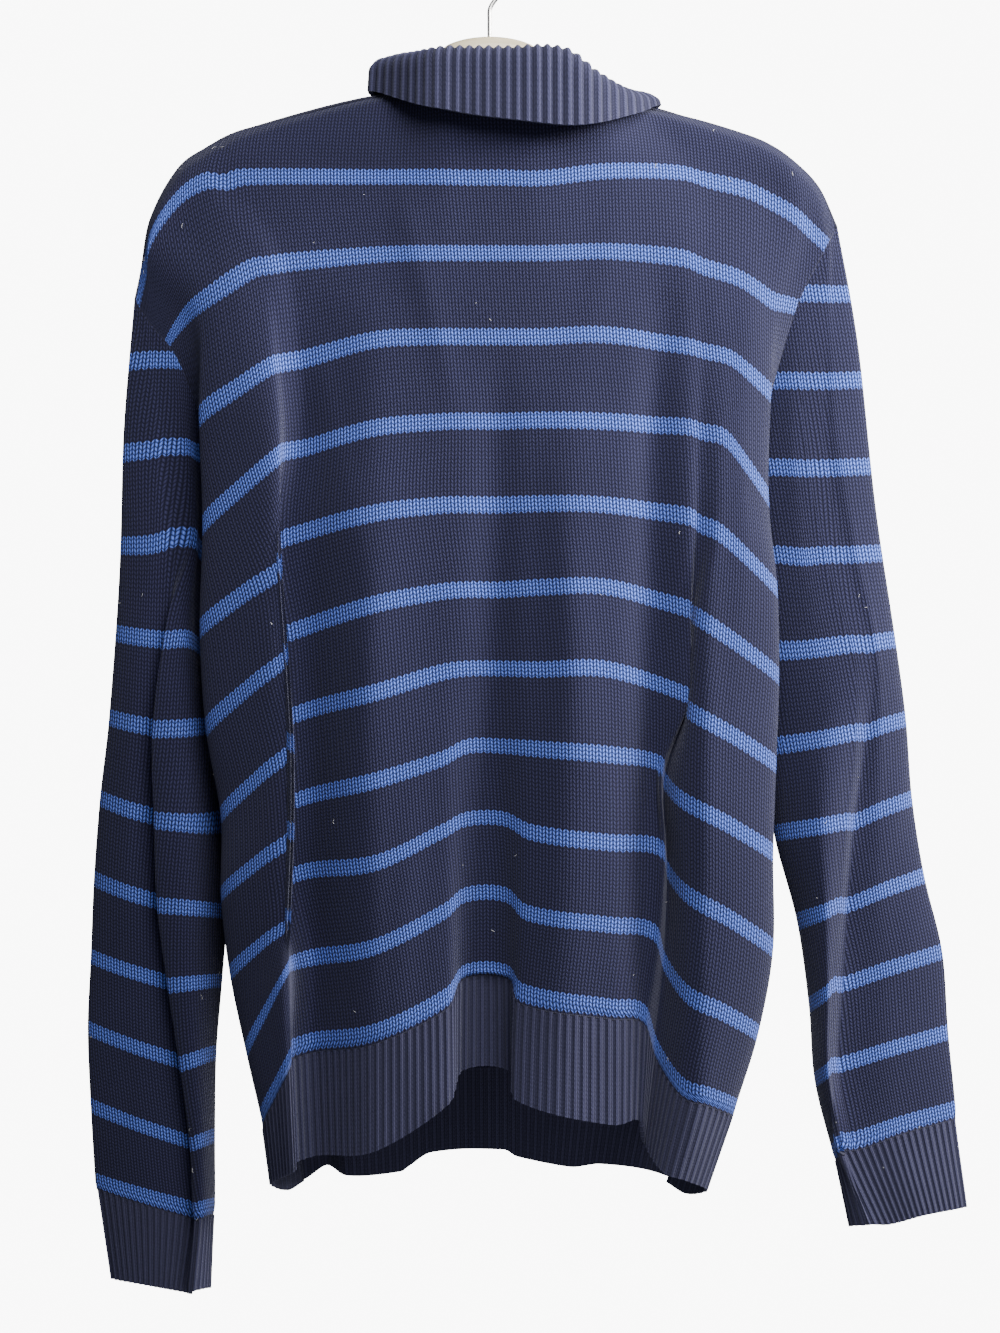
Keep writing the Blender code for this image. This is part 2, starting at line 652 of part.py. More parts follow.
def sleeve(group, side, panels, finish, rib_finish):
    edge, table, cuff_end = {
        "left": (0, LEFT_SLEEVE, LEFT_CUFF_END),
        "right": (-1, RIGHT_SLEEVE, RIGHT_CUFF_END),
    }[side]
    grid = sleeve_grid(panels, edge, table, cuff_end, DOWN, SLEEVE_ROUND, 1)
    out = sleeve_normals(grid, panels, edge, DOWN)
    top = len(table)
    out[top] = unit(np.roll(out[top], 1, axis=0) + 2 * out[top] + np.roll(out[top], -1, axis=0))
    inner = grid - BODY_WALL * out
    wall(group, f"sleeve_{side}", grid[: top + 1], inner[: top + 1], finish, ring=True)
    rows = grid[top:].copy()
    rows[0] = stepped(rows[0], out[top], rows[1], ring=True)
    outer, inner = ribbed(rows, out[top:], CUFF_RIB_PITCH, RIB_WALL, ring=True)
    wall(group, f"cuff_{side}", outer, inner, rib_finish, ring=True)


def neck_line(back, front, back_across, front_across):
    """The neck seam, from the zip's left edge over the back to its right edge."""
    slot = [place_of(column, front_across) for column in SLOT]
    front_neck = [place_of(column, front_across) for column in NECK[1]]
    back_neck = [place_of(column, back_across) for column in NECK[-1]]
    left = front[0, front_neck[0] : slot[0] + 1][::-1]
    behind = back[0, back_neck[0] : back_neck[1] + 1]
    right = front[0, slot[1] : front_neck[1] + 1][::-1]
    line = np.concatenate([left[:-1], behind, right[1:]])
    line[:, 2] += 1.5 * SEAM_GAP
    return line


def collar_profile(place):
    """The collar's section at a place along the neck seam: how far out and up each point lies."""
    places = [row[1] for row in COLLAR]
    stand, roll, fall = (
        spline(places, [row[column] for row in COLLAR], [place])[0] for column in (2, 3, 4)
    )
    return np.array((
        (-2.4, 0.0),
        (-2.8, 0.5 * stand),
        (-0.8, 0.88 * stand),
        (0.45 * roll, stand),
        (0.95 * roll, stand - 0.25 * roll),
        (roll + 0.5, stand - 0.25 * roll - 0.5 * (fall - 0.25 * roll)),
        (roll + 1.0, stand - fall),
    ))


def collar_grid(line, pitch, splits_down):
    length, places = rib_places(line, pitch)
    base = np.stack([np.interp(places, length, line[:, axis]) for axis in range(3)], axis=1)
    outward = np.stack([(base[:, 0] - NECK_X) / NECK_WIDE**2, base[:, 1] / NECK_DEEP**2], axis=1)
    outward = unit(outward)
    profiles = np.stack([collar_profile(place / length[-1]) for place in places], axis=1)
    knots = np.arange(len(profiles), dtype=float)
    profiles = spline(knots, profiles, between(knots, splits_down))
    grid = np.empty(profiles.shape[:2] + (3,))
    grid[..., :2] = base[:, :2] + outward * profiles[..., :1]
    grid[..., 2] = base[:, 2] + profiles[..., 1]
    return grid


def collar(group, back, front, finish):
    line = neck_line(back, front, BACK_ACROSS, FRONT_ACROSS)
    grid = collar_grid(line, COLLAR_RIB_PITCH, 1)
    out = normals(grid)
    rise = np.where(np.arange(grid.shape[1]) % 2, RIB_RISE, 0.0)[None, :, None]
    outer = grid + (RIB_WALL / 2 + rise) * out
    inner = grid - RIB_WALL / 2 * out
    return wall(group, "collar", outer, inner, finish)


def zip_tape(group, side, front, out, finish):
    """A tape behind one edge of the slot, reaching out into it for the teeth."""
    edge = place_of(SLOT[0 if side == "left" else 1], FRONT_ACROSS)
    beside = edge - 1 if side == "left" else edge + 1
    lining = front - (BODY_WALL + 2 * SEAM_GAP) * out
    line, behind = lining[: ZIP_ROWS + 1, edge], lining[: ZIP_ROWS + 1, beside]
    under = unit(behind - line)
    outer = np.stack([line + TAPE_UNDER * under, line, line - TAPE_OUT * under], axis=1)
    inner = outer - TAPE_WALL * out[: ZIP_ROWS + 1, edge][:, None]
    if side == "left":
        outer, inner = outer[:, ::-1], inner[:, ::-1]
    return wall(group, f"zip_tape_{side}", outer, inner, finish)


def block(low, high):
    """A box between two corners."""
    low, high = np.array(low) * MM, np.array(high) * MM
    bpy.ops.mesh.primitive_cube_add(size=1.0)
    made = bpy.context.object
    made.data.transform(Matrix.Diagonal((*(high - low), 1.0)))
    made.data.transform(Matrix.Translation((high + low) / 2))
    return made


def join_blocks(group, name, blocks, finish):
    """Boxes joined into one body; the first is kept and the others are used up."""
    first, *others = [block(low, high) for low, high in blocks]
    for other in others:
        union = first.modifiers.new("join", "BOOLEAN")
        union.operation = "UNION"
        union.object = other
    mesh = bpy.data.meshes.new_from_object(
        first.evaluated_get(bpy.context.evaluated_depsgraph_get())
    )
    for used in (first, *others):
        bpy.data.objects.remove(used, do_unlink=True)
    mesh.materials.clear()
    return finished(group, name, mesh, finish)


def zip_slider(group, plate_back, finish):
    """Two plates with a post between them, and the bridge that the pull hangs in."""
    half, top, bottom = SLIDER_WIDTH / 2, SLIDER_HEIGHT / 2, -SLIDER_HEIGHT / 2
    gap = TAPE_WALL + 2 * SEAM_GAP
    face = plate_back + gap + SLIDER_PLATE
    bridge = BRIDGE_WIDTH / 2
    z = -SLIDER_DROP
    return join_blocks(
        group,
        "zip_slider",
        (
            ((ZIP_X - half, face - SLIDER_PLATE, z + bottom), (ZIP_X + half, face, z + top)),
            (
                (ZIP_X - half, plate_back - SLIDER_PLATE, z + bottom),
                (ZIP_X + half, plate_back, z + top),
            ),
            ((ZIP_X - 1.4, plate_back - 0.5, z + 2.5), (ZIP_X + 1.4, face - 0.5, z + top - 0.2)),
            (
                (ZIP_X - bridge, face - 0.5, z + top - 2.2),
                (ZIP_X + bridge, face + BRIDGE_REACH, z + top - 0.8),
            ),
            (
                (ZIP_X - bridge, face - 0.5, z + bottom + 0.8),
                (ZIP_X + bridge, face + BRIDGE_REACH, z + bottom + 2.2),
            ),
            (
                (ZIP_X - bridge, face + BRIDGE_REACH - 1.2, z + bottom + 0.9),
                (ZIP_X + bridge, face + BRIDGE_REACH - 0.1, z + top - 0.9),
            ),
        ),
        finish,
    )


def zip_pull(group, pivot, finish):
    """A tab with a window that hangs in the slider's bridge; its origin is on the hinge."""
    half, eye = PULL_WIDTH / 2, 1.7
    thick = PULL_THICKNESS / 2
    made = join_blocks(
        group,
        "zip_pull",
        (
            ((-half, -thick, -thick), (half, thick, thick)),
            ((-half, -thick, -PULL_WINDOW - 0.4), (-eye, thick, 0.2)),
            ((eye, -thick, -PULL_WINDOW - 0.4), (half, thick, 0.2)),
            ((-half, -thick, -PULL_LENGTH), (half, thick, -PULL_WINDOW)),
        ),
        finish,
    )
    made.location = np.array(pivot) * MM
    return made


def hanger_bar(group, finish):
    """The wooden bar, lofted from oval sections out to its tips."""
    rings = []
    rows = [(-x, drop, half) for x, drop, half in reversed(BAR[1:])] + list(BAR)
    for x, drop, half in rows:
        taper = min(1.0, 0.55 + 0.45 * half / 9.0)
        centre = -(BAR_TOP_DROP + drop + half)
        ring = []
        for side in range(BAR_SIDES):
            angle = 2 * math.pi * side / BAR_SIDES
            ring.append(
                (x, -BAR_HALF_DEPTH * taper * math.cos(angle), centre + half * math.sin(angle))
            )
        rings.append(ring)
    points = np.array(rings)
    count, sides = points.shape[:2]
    faces = [tuple(range(sides))[::-1], tuple((count - 1) * sides + i for i in range(sides))]
    for row in range(count - 1):
        for side in range(sides):
            after = (side + 1) % sides
            faces.append((
                row * sides + side,
                row * sides + after,
                (row + 1) * sides + after,
                (row + 1) * sides + side,
            ))
    mesh = bpy.data.meshes.new("hanger_bar")
    mesh.from_pydata([tuple(p * MM) for p in points.reshape(-1, 3)], [], faces)
    mesh.flip_normals()
    return finished(group, "hanger_bar", mesh, finish)


def hook_route():
    """The hook's wire: up the shank, out to the side and over the crown."""
    radius = HOOK_INNER + HOOK_WIRE
    centre = -HOOK_INNER
    route = [(0.0, -BAR_TOP_DROP + SEAM_GAP), (0.0, -60.0), (0.4, -52.0), (5.0, -45.0)]
    route += [(12.5, -37.5)]
    for step in range(15):
        angle = math.radians(-28 + step * 16.5)
        route.append((radius * math.cos(angle), centre + radius * math.sin(angle)))
    return [(x, 0.0, z) for x, z in route]


def hanger_hook(group, finish):
    data = bpy.data.curves.new("hanger_hook", "CURVE")
    data.dimensions = "3D"
    data.bevel_depth = HOOK_WIRE * MM
    data.bevel_resolution = 2
    data.use_fill_caps = True
    route = hook_route()
    line = data.splines.new("POLY")
    line.points.add(len(route) - 1)
    for point, place in zip(line.points, route):
        point.co = (*(value * MM for value in place), 1.0)
    data.materials.append(finish)
    made = bpy.data.objects.new("hanger_hook", data)
    group.objects.link(made)
    return made


def main():
    group = clear_scene()
    knit = material("navy_knit", (0.012, 0.013, 0.045), 0.9)
    rib = material("navy_rib", (0.010, 0.011, 0.035), 0.9)
    tape = material("navy_tape", (0.008, 0.009, 0.025), 0.8)
    metal = material("nickel", (0.6, 0.6, 0.6), 0.3, 1.0)
    wood = material("pale_wood", (0.45, 0.36, 0.22), 0.45)
    steel = material("steel_wire", (0.55, 0.55, 0.55), 0.25, 1.0)

    back, back_out = panel_grids(-1, BACK_ACROSS, DOWN)
    front, front_out = panel_grids(1, FRONT_ACROSS, DOWN)
    panel(group, "back_panel", back, back_out, -1, knit)
    panel(group, "front_panel", front, front_out, 1, knit)
    hem_rib(group, "hem_rib_back", back, back_out, -1, rib)
    hem_rib(group, "hem_rib_front", front, front_out, 1, rib)
    for side in ("left", "right"):
        sleeve(group, side, ((back, back_out), (front, front_out)), knit, rib)
        zip_tape(group, side, front, front_out, tape)
    collar(group, back, front, rib)
    slot = front[: ZIP_ROWS + 1, place_of(SLOT[0], FRONT_ACROSS)]
    surface = np.interp(SLIDER_DROP, -slot[:, 2], slot[:, 1])
    plate_back = surface - BODY_WALL - 2 * SEAM_GAP - TAPE_WALL - SEAM_GAP
    zip_slider(group, plate_back, metal)
    face = plate_back + TAPE_WALL + 2 * SEAM_GAP + SLIDER_PLATE
    zip_pull(group, (ZIP_X, face + PULL_PIVOT_OUT, -SLIDER_DROP), metal)
    hanger_bar(group, wood)
    hanger_hook(group, steel)


if __name__ == "__main__":
    main()
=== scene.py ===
"""A striped quarter-zip sweater on a wooden hanger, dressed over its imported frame.

Sections are given in millimetres, as x and the drop below the hook's crown, and every sheet of cloth
is lofted through them in metres. Each point of the knit carries how far across the wales and how far
down the courses it lies, so the stitches and stripes follow the cloth.
"""
import json
import math

import bmesh
import bpy
import numpy as np
from bpy.props import FloatProperty, FloatVectorProperty, IntProperty, PointerProperty
from mathutils import Matrix, Vector


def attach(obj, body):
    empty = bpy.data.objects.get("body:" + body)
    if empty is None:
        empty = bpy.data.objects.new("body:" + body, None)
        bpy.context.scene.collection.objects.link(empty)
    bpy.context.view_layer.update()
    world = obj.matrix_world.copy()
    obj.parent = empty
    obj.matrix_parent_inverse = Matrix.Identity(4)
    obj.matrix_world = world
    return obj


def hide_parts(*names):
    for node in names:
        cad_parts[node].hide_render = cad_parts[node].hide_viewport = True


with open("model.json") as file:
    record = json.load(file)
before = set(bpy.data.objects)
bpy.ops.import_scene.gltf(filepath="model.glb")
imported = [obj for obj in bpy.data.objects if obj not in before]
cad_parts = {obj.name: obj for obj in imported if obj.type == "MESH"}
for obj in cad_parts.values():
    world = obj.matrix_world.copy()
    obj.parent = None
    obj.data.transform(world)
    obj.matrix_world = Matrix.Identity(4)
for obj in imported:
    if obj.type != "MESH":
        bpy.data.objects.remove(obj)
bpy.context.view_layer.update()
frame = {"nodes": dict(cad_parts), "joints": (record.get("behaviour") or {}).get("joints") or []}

bl_info = {
    "name": "Quarter-zip sweater",
    "version": (1, 0, 0),
    "blender": (4, 5, 0),
    "location": "3D View > Sidebar > Sweater",
    "description": "Dresses the frame of a striped quarter-zip sweater on its hanger",
    "category": "Object",
}

MM = 0.001
KNIT_UV = "Knit"

# The knit: how far apart its stripes lie, the courses from one to the next, how wide a wale is, how
# far a stitch's legs slant in courses, and how fine its fibres are
STRIPE_PITCH = 55.0
PITCH_ROWS = 21
ROW = STRIPE_PITCH / PITCH_ROWS
WALE = 4.4
STITCH_SLANT = 1.5
FIBRE_SCALE = 900.0

# The ribs: how far below the last stripe they start, how deep the hem is, how far apart the ribs
# lie, how many steps draw half a rib, and how deep their stitches are next to the plain knit's
RIB_BELOW = 7.0
HEM_DEPTH = 62.0
HEM_RIB_PITCH = 5.6
CUFF_RIB_PITCH = 4.8
COLLAR_RIB_PITCH = 6.0
RIB_STEPS = 4
RIB_STITCHES = 0.8

# The cloth: the gap at its seams, how high its small waves are, over how much of the first stretch
# its creases grow, how much a shear counts next to a stretch when it is laid flat, how narrow a step
# across may come out, and above which angle its edges stay sharp
SEAM_GAP = 0.12
CLOTH_WAVE = 0.35
EASED = 0.8
SHEAR_WEIGHT = 0.15
LEAST_WIDTH = 0.35
CLOTH_SHARP = 70

# The seams' yarn and how far it is sunk, and how far the collar stands off the neck
SEAM_YARN = 0.95
SEAM_SUNK = 0.9
COLLAR_GAP = 0.5

# Where the garment is seen from
VIEW_DISTANCE = 1900.0
VIEW_X = 7.0
VIEW_DROP = 493.0
VIEW_HEIGHT = 893.1
SENSOR = 24.0

# The front hangs lower than the back in the middle, where its slot widens at the neck
FRONT_DROP = 48.0
ZIP_X = 14.0
ZIP_SLOT = 9.5
NECK_SLOT_HALF = 13.0
SLIDER_DROP = 247.0

# How finely the sheets follow the sections: parts to each stretch across a panel and down it
ACROSS = 9
DOWN = 10
SLEEVE_DOWN = 10
COLLAR_DOWN = 5

# One row for each stripe of the back, then the top of the rib and its bottom edge. The first ten
# numbers are how far below the hook's crown the stripe crosses each fold line, and the last five
# are how far right of the hook the folds lie.
BACK_COLUMNS = (
    "lobe_l ridge_l panel_l mid_l crease_l crease_r mid_r panel_r ridge_r lobe_r "
    "x_lobe_l x_ridge_l x_panel_r x_ridge_r x_lobe_r"
).split()
BACK_STRIPES = (
    (216, 172, 165, 165, 165, 166, 161, 162, 173, 191, -226, -190, 128, 171, 205),
    (250, 226, 222, 217, 216, 216, 215, 219, 232, 248, -195, -158, 128, 165, 190),
    (325, 292, 287, 274, 272, 272, 271, 278, 286, 309, -194, -147, 131, 161, 188),
    (398, 352, 346, 333, 329, 328, 329, 332, 340, 380, -192, -142, 131, 158, 187),
    (468, 426, 406, 390, 385, 384, 385, 392, 404, 442, -194, -139, 132, 155, 193),
    (534, 485, 468, 451, 443, 440, 440, 454, 461, 500, -190, -135, 132, 141, 194),
    (593, 546, 524, 510, 497, 495, 495, 512, 524, 559, -180, -131, 132, 136, 192),
    (646, 605, 582, 569, 555, 548, 552, 558, 583, 618, -180, -131, 114, 130, 190),
    (699, 662, 632, 624, 603, 604, 611, 615, 646, 682, -174, -133, 115, 133, 190),
    (752, 695, 688, 680, 657, 658, 666, 672, 713, 739, -163, -135, 111, 133, 180),
    (796, 754, 744, 737, 714, 711, 721, 726, 774, 788, -153, -133, 104, 129, 165),
    (803, 762, 752, 745, 722, 719, 729, 734, 781, 795, -152, -133, 104, 128, 163),
    (840, 831, 821, 817, 786, 784, 800, 798, 832, 844, -147, -130, 101, 116, 146),
)
MID_L, CREASE_L, PLEAT_L, PLEAT_R, CREASE_R, MID_R = -75, -27, -18, 13, 18, 80
# The pleat down the middle of the back opens from the seventh stripe to the hem. There its middle is
# lifted and pushed in by these amounts.
PLEAT_LIFT = 21.0
PLEAT_DEPTH = 14.0
PLEAT_START = 5.5
PLEAT_COLUMNS = slice(9, 11)

# Where each stripe meets the armhole and, from the fifth on, the side seam: x and drop, left, right
SIDE_SEAMS = (
    (-227, 264, 226, 211),
    (-208, 289, 206, 252),
    (-187, 350, 188, 313),
    (-176, 412, 174, 367),
    (-168, 476, 166, 430),
    (-160, 538, 164, 497),
    (-152, 597, 162, 556),
    (-150, 650, 160, 614),
    (-147, 702, 160, 678),
    (-138, 756, 152, 736),
    (-131, 800, 138, 786),
    (-130, 806, 137, 792),
    (-126, 838, 120, 839),
)

# The rows of each panel's sections at the underarm and at the top of the rib, and where the zip ends
UNDERARM_ROW = 6
RIB_ROW = 13
ZIP_SPAN = 4.5
# The columns of each panel that the neck and the zip's slot lie between
NECK = {-1: (7, 13), 1: (6, 13)}
SLOT = (9, 10)
# How far below the top edge the cloth turns over the hanger
OVER_HANGER = 7.0
# The middle of the neck, and its half width and half depth
NECK_X, NECK_WIDE, NECK_DEEP = 16.0, 84.0, 40.0

# The shoulder line and the back of the neck, as x and drop, one pair for each fold line
LEFT_SHOULDER = ((-238, 247), (-234, 228), (-228, 194), (-209, 159), (-190, 145))
RIGHT_SHOULDER = (
    (100, 118), (134, 125), (165, 134), (186, 142), (205, 155), (221, 172), (233, 198),
)
BACK_TOP = (
    *LEFT_SHOULDER, (-178, 139), (-165, 133), (-67, 109), (-33, 116), (-14, 119), (8, 120),
    (34, 120), (66, 120), *RIGHT_SHOULDER,
)
FRONT_TOP = (
    *LEFT_SHOULDER, (-165, 133), (-67, 109), (-64, 123), (-46, 160), (-9, 186), (37, 186),
    (80, 162), (97, 132), *RIGHT_SHOULDER,
)

# How far each fold line stands off the middle of the garment at the top, over the hanger, at the
# first and second stripes, at the fifth, at the eighth and at the hem, which are these rows
DEPTH_ROWS = (0, 1, 2, 3, 6, 9, 14)
BACK_DEPTHS = (
    ("edge_l", 0, 3, 6, 10, 0, 0, 0),
    ("tuck_l", 0, 6, 8, 16, 20, 22, 14),
    ("lobe_l", 0, 10, 11, 24, 38, 44, 34),
    ("face_l", 0, 11, 13, 28, 56, 66, 50),
    ("ridge_l", 0, 11, 15, 28, 62, 74, 56),
    ("under_l", 0, 11, 15, 28, 42, 47, 38),
    ("panel_l", 0, 11, 16, 26, 34, 36, 30),
    ("mid_l", 0, 11, 26, 32, 48, 54, 48),
    ("crease_l", 31, 33, 35, 38, 48, 54, 52),
    ("pleat_l", 34, 35, 36, 39, 48, 54, 52),
    ("pleat_r", 37, 37, 37, 40, 48, 54, 52),
    ("crease_r", 38, 38, 38, 40, 48, 54, 52),
    ("mid_r", 31, 32, 32, 36, 50, 58, 50),
    ("panel_r", 0, 11, 20, 32, 47, 48, 46),
    ("valley_r", 0, 11, 17, 30, 42, 38, 36),
    ("ridge_r", 0, 11, 15, 28, 48, 54, 50),
    ("face_r", 0, 11, 13, 26, 48, 59, 50),
    ("lobe_r", 0, 10, 12, 20, 34, 40, 30),
    ("tuck_r", 0, 6, 8, 14, 18, 20, 12),
    ("edge_r", 0, 3, 6, 8, 0, 0, 0),
)
FRONT_DEPTHS = (
    ("edge_l", 0, 3, 6, 10, 0, 0, 0),
    ("tuck_l", 0, 6, 8, 16, 20, 22, 14),
    ("lobe_l", 0, 10, 11, 24, 36, 40, 32),
    ("face_l", 0, 11, 13, 30, 52, 60, 48),
    ("ridge_l", 0, 11, 15, 30, 54, 66, 54),
    ("panel_l", 0, 11, 17, 32, 46, 46, 44),
    ("neck_l", 0, 11, 30, 40, 50, 54, 52),
    ("side_l", 13, 18, 34, 41, 49, 55, 53),
    ("collar_l", 28, 31, 38, 42, 48, 56, 54),
    ("slot_l", 42, 42, 43, 43, 47, 54, 54),
    ("slot_r", 42, 42, 43, 43, 47, 54, 54),
    ("collar_r", 28, 31, 38, 42, 50, 58, 54),
    ("side_r", 13, 18, 34, 41, 51, 58, 52),
    ("neck_r", 0, 11, 30, 40, 52, 58, 50),
    ("panel_r", 0, 11, 17, 32, 44, 44, 44),
    ("ridge_r", 0, 11, 15, 30, 52, 64, 52),
    ("face_r", 0, 11, 13, 30, 50, 58, 46),
    ("lobe_r", 0, 10, 12, 22, 34, 38, 30),
    ("tuck_r", 0, 6, 8, 14, 18, 20, 12),
    ("edge_r", 0, 3, 6, 8, 0, 0, 0),
)

# Sleeve sections below the underarm, as x and drop at the outer edge, at the lengthwise fold and at
# the inner edge, how far the fold laps over, how deep the tube is, and how many stripes down the
# sleeve each of those three lines lies
LEFT_SLEEVE = (
    (-245, 335, -205, 400, -180, 520, 0.0, 24, 1.75, 2.9, 4.4),
    (-248, 430, -217, 460, -178, 560, 4.0, 32, 3.3, 3.75, 5.45),
    (-255, 527, -226, 535, -176, 592, 7.0, 38, 5, 5, 5.95),
    (-261, 581, -225, 596, -176, 622, 8.0, 40, 6, 6, 6.35),
    (-265, 635, -223, 653, -176, 662, 8.0, 40, 7, 7, 7.1),
    (-267, 687, -216, 707, -179, 703, 8.0, 38, 8, 8, 8),
    (-269, 735, -208, 760, -183, 751, 7.0, 36, 9, 9, 9),
    (-267, 787, -201, 814, -184, 807, 6.0, 34, 10, 10, 10),
    (-264, 837, -199, 857, -184, 853, 5.0, 32, 11, 11, 11),
    (-263, 843, -198, 865, -185, 860, 5.0, 32, 11.12, 11.12, 11.12),
)
RIGHT_SLEEVE = (
    (247, 278, 218, 345, 178, 475, 0.0, 24, 1.6, 2.74, 4.98),
    (259, 388, 234, 430, 180, 515, 0.0, 32, 3.5, 4.2, 5.5),
    (272, 475, 250, 490, 184, 550, 1.0, 38, 5, 5.2, 6.05),
    (279, 528, 248, 546, 187, 580, 4.0, 42, 6, 6.15, 6.55),
    (283, 581, 242, 597, 192, 612, 6.0, 42, 7, 7, 7.13),
    (291, 633, 237, 653, 206, 664, 6.0, 40, 8, 8, 8),
    (303, 684, 234, 706, 214, 720, 6.0, 38, 9, 9, 9),
    (307, 738, 232, 760, 218, 770, 5.0, 36, 10, 10, 10),
    (312, 789, 238, 810, 230, 818, 2.0, 34, 11, 11, 11),
    (312, 796, 240, 817, 232, 824, 1.0, 34, 11.12, 11.12, 11.12),
)
LEFT_CUFF_END = (-254, 903, -204, 913, -187, 909, 4.0, 32, 12.2, 12.2, 12.2)
RIGHT_CUFF_END = (320, 855, 262, 867, 241, 868, 1.0, 34, 12.2, 12.2, 12.2)
# How far down the second stripe crosses each sleeve, and how far apart the stripes are there
LEFT_CAP, RIGHT_CAP = (289.0, 61.0), (244.0, 58.0)

# The collar round the neck, from the zip's left edge over the back to its right edge: how far along
# the neck seam, how high it stands, how far the fold rolls out, and where its loose edge hangs
COLLAR = (
    ("front_left", 0.00, 34, 15, 46),
    ("side_front_left", 0.13, 31, 13, 34),
    ("left", 0.25, 20, 13, 18),
    ("back_left", 0.33, 25, 14, 30),
    ("back_middle_left", 0.41, 35, 15, 41),
    ("back", 0.50, 37, 16, 47),
    ("back_middle_right", 0.58, 36, 17, 50),
    ("back_right", 0.63, 21, 16, 33),
    ("side_right", 0.69, 9, 15, 16),
    ("right", 0.75, 8, 12, 7),
    ("side_front_right", 0.87, 29, 14, 32),
    ("front_right", 1.00, 34, 15, 46),
)

# The top of the hanger's bar on each side: distance from the hook, drop, half height
BAR = (
    (0, 0.0, 11.0),
    (27, 5.0, 11.0),
    (38, 17.0, 11.5),
    (46, 31.0, 12.0),
    (53, 41.5, 12.0),
    (74, 47.0, 12.0),
    (100, 51.5, 12.0),
    (125, 56.5, 12.0),
    (160, 66.5, 11.5),
    (190, 80.5, 10.0),
    (205, 91.5, 8.0),
    (212, 99.0, 4.5),
)
BAR_TOP_DROP = 71.0
BAR_HALF_DEPTH = 6.2
BAR_SIDES = 32
HOOK_WIRE = 1.5
HOOK_INNER = 19.0
# The hook's shank, as x and z, and the arc it goes on in, in degrees
HOOK_SHANK = ((0.0, -BAR_TOP_DROP - 1.0), (0.0, -60.0), (0.4, -52.0), (5.0, -45.0), (12.5, -37.5))
HOOK_FROM = -28.0
HOOK_STEP = 16.5
HOOK_STEPS = 15

# Half the width of a sleeve's lengthwise fold where nothing laps over
FOLD_HALF = 7.0
# The front of a sleeve: share of the way from the inner edge to the outer, and how far forward it
# stands, as a share of the depth
SLEEVE_FRONT = ((0.12, 0.3), (0.32, 0.46), (0.5, 0.5), (0.7, 0.46), (0.9, 0.3))
# How much farther down the courses the first two stripes' rows lie at the left shoulder's fold lines
SHOULDER_COURSES = ((20.0, 14.0, 9.0, 11.0, 4.0), (22.0, 12.0, 0.0, 0.0, 0.0))
# How much lower the back's hem hangs just behind the side seams
HEM_SAG = 5.0
# The front's fold lines on each side: how far out they lie as a share of the way to the lobe, and
# how far down as a share of the way from the middle's drop to the side seam's
FRONT_LEFT = (
    (1.0, 0.97), (0.88, 0.85), (0.76, 0.66), (0.66, 0.5), (0.42, 0.2), (0.38, 0.16), (0.27, 0.08),
)
FRONT_RIGHT = (
    (0.38, 0.08), (0.48, 0.16), (0.52, 0.22), (0.68, 0.5), (0.78, 0.66), (0.89, 0.85), (1.0, 0.97),
)
# The front hem's bottom edge, as x and drop
FRONT_HEM = (
    (-142, 842), (-128, 846), (-112, 836), (-76, 849), (-32, 823), (4, 823), (26, 834), (48, 838),
    (84, 834), (110, 838), (122, 847), (140, 842),
)

# The zip's teeth: how far they lie behind the front's face, how far apart they are, how far past the
# middle they reach below the slider and how far short of the edge above it, how far out their heels
# are, half their thickness and half their height
TAPE_BEHIND = 3.6
TOOTH_PITCH = 1.5
TOOTH_BITE = 0.75
TOOTH_OPEN = 0.15
TOOTH_REACH = 2.3
TOOTH_THICK = 0.75
TOOTH_HIGH = 0.32
# The stitches that hold the tapes: how far along each point of one lies and how far it stands out
TAPE_STITCH = np.array(((0.0, -0.35), (0.6, 0.2), (1.4, 0.2), (2.0, -0.35)))
TAPE_STITCH_PITCH = 3.6
TAPE_STITCH_OUT = 3.2
# The slider: how far above the hinge it hides the teeth, the gap between its plates, how thick they
# are, how far the hinge stands off its face, and half the pull's thickness
SLIDER_TEETH = 6.4
SLIDER_GAP = 1.7
SLIDER_PLATE = 1.5
PULL_PIVOT_OUT = 2.6
PULL_HALF_THICK = 0.6
# Half width, low and high end and corner radius of the slider's plates, its post, the pull and the
# pull's window, measured from the hinge
SLIDER_OUTLINE = (4.2, -6.0, 6.0, 2.6)
POST_OUTLINE = (1.4, 2.5, 5.8, 0.6)
PULL_OUTLINE = (3.5, -30.0, 0.6, 2.2)
PULL_WINDOW = (1.7, -6.2, -0.6, 0.8)
# The bridge's arch: how far each point stands off the slider's face and above the hinge
BRIDGE_WIRE = 0.75
BRIDGE = ((-0.4, 4.4), (2.6, 4.5), (4.2, 3.2), (4.25, 0.0), (4.2, -3.2), (2.6, -4.5), (-0.4, -4.4))
# A block's corners and its faces
CORNERS = [(x, y, z) for x in (-1, 1) for y in (-1, 1) for z in (-1, 1)]
SIDES = ((0, 1, 3, 2), (4, 6, 7, 5), (0, 4, 5, 1), (2, 3, 7, 6), (0, 2, 6, 4), (1, 5, 7, 3))

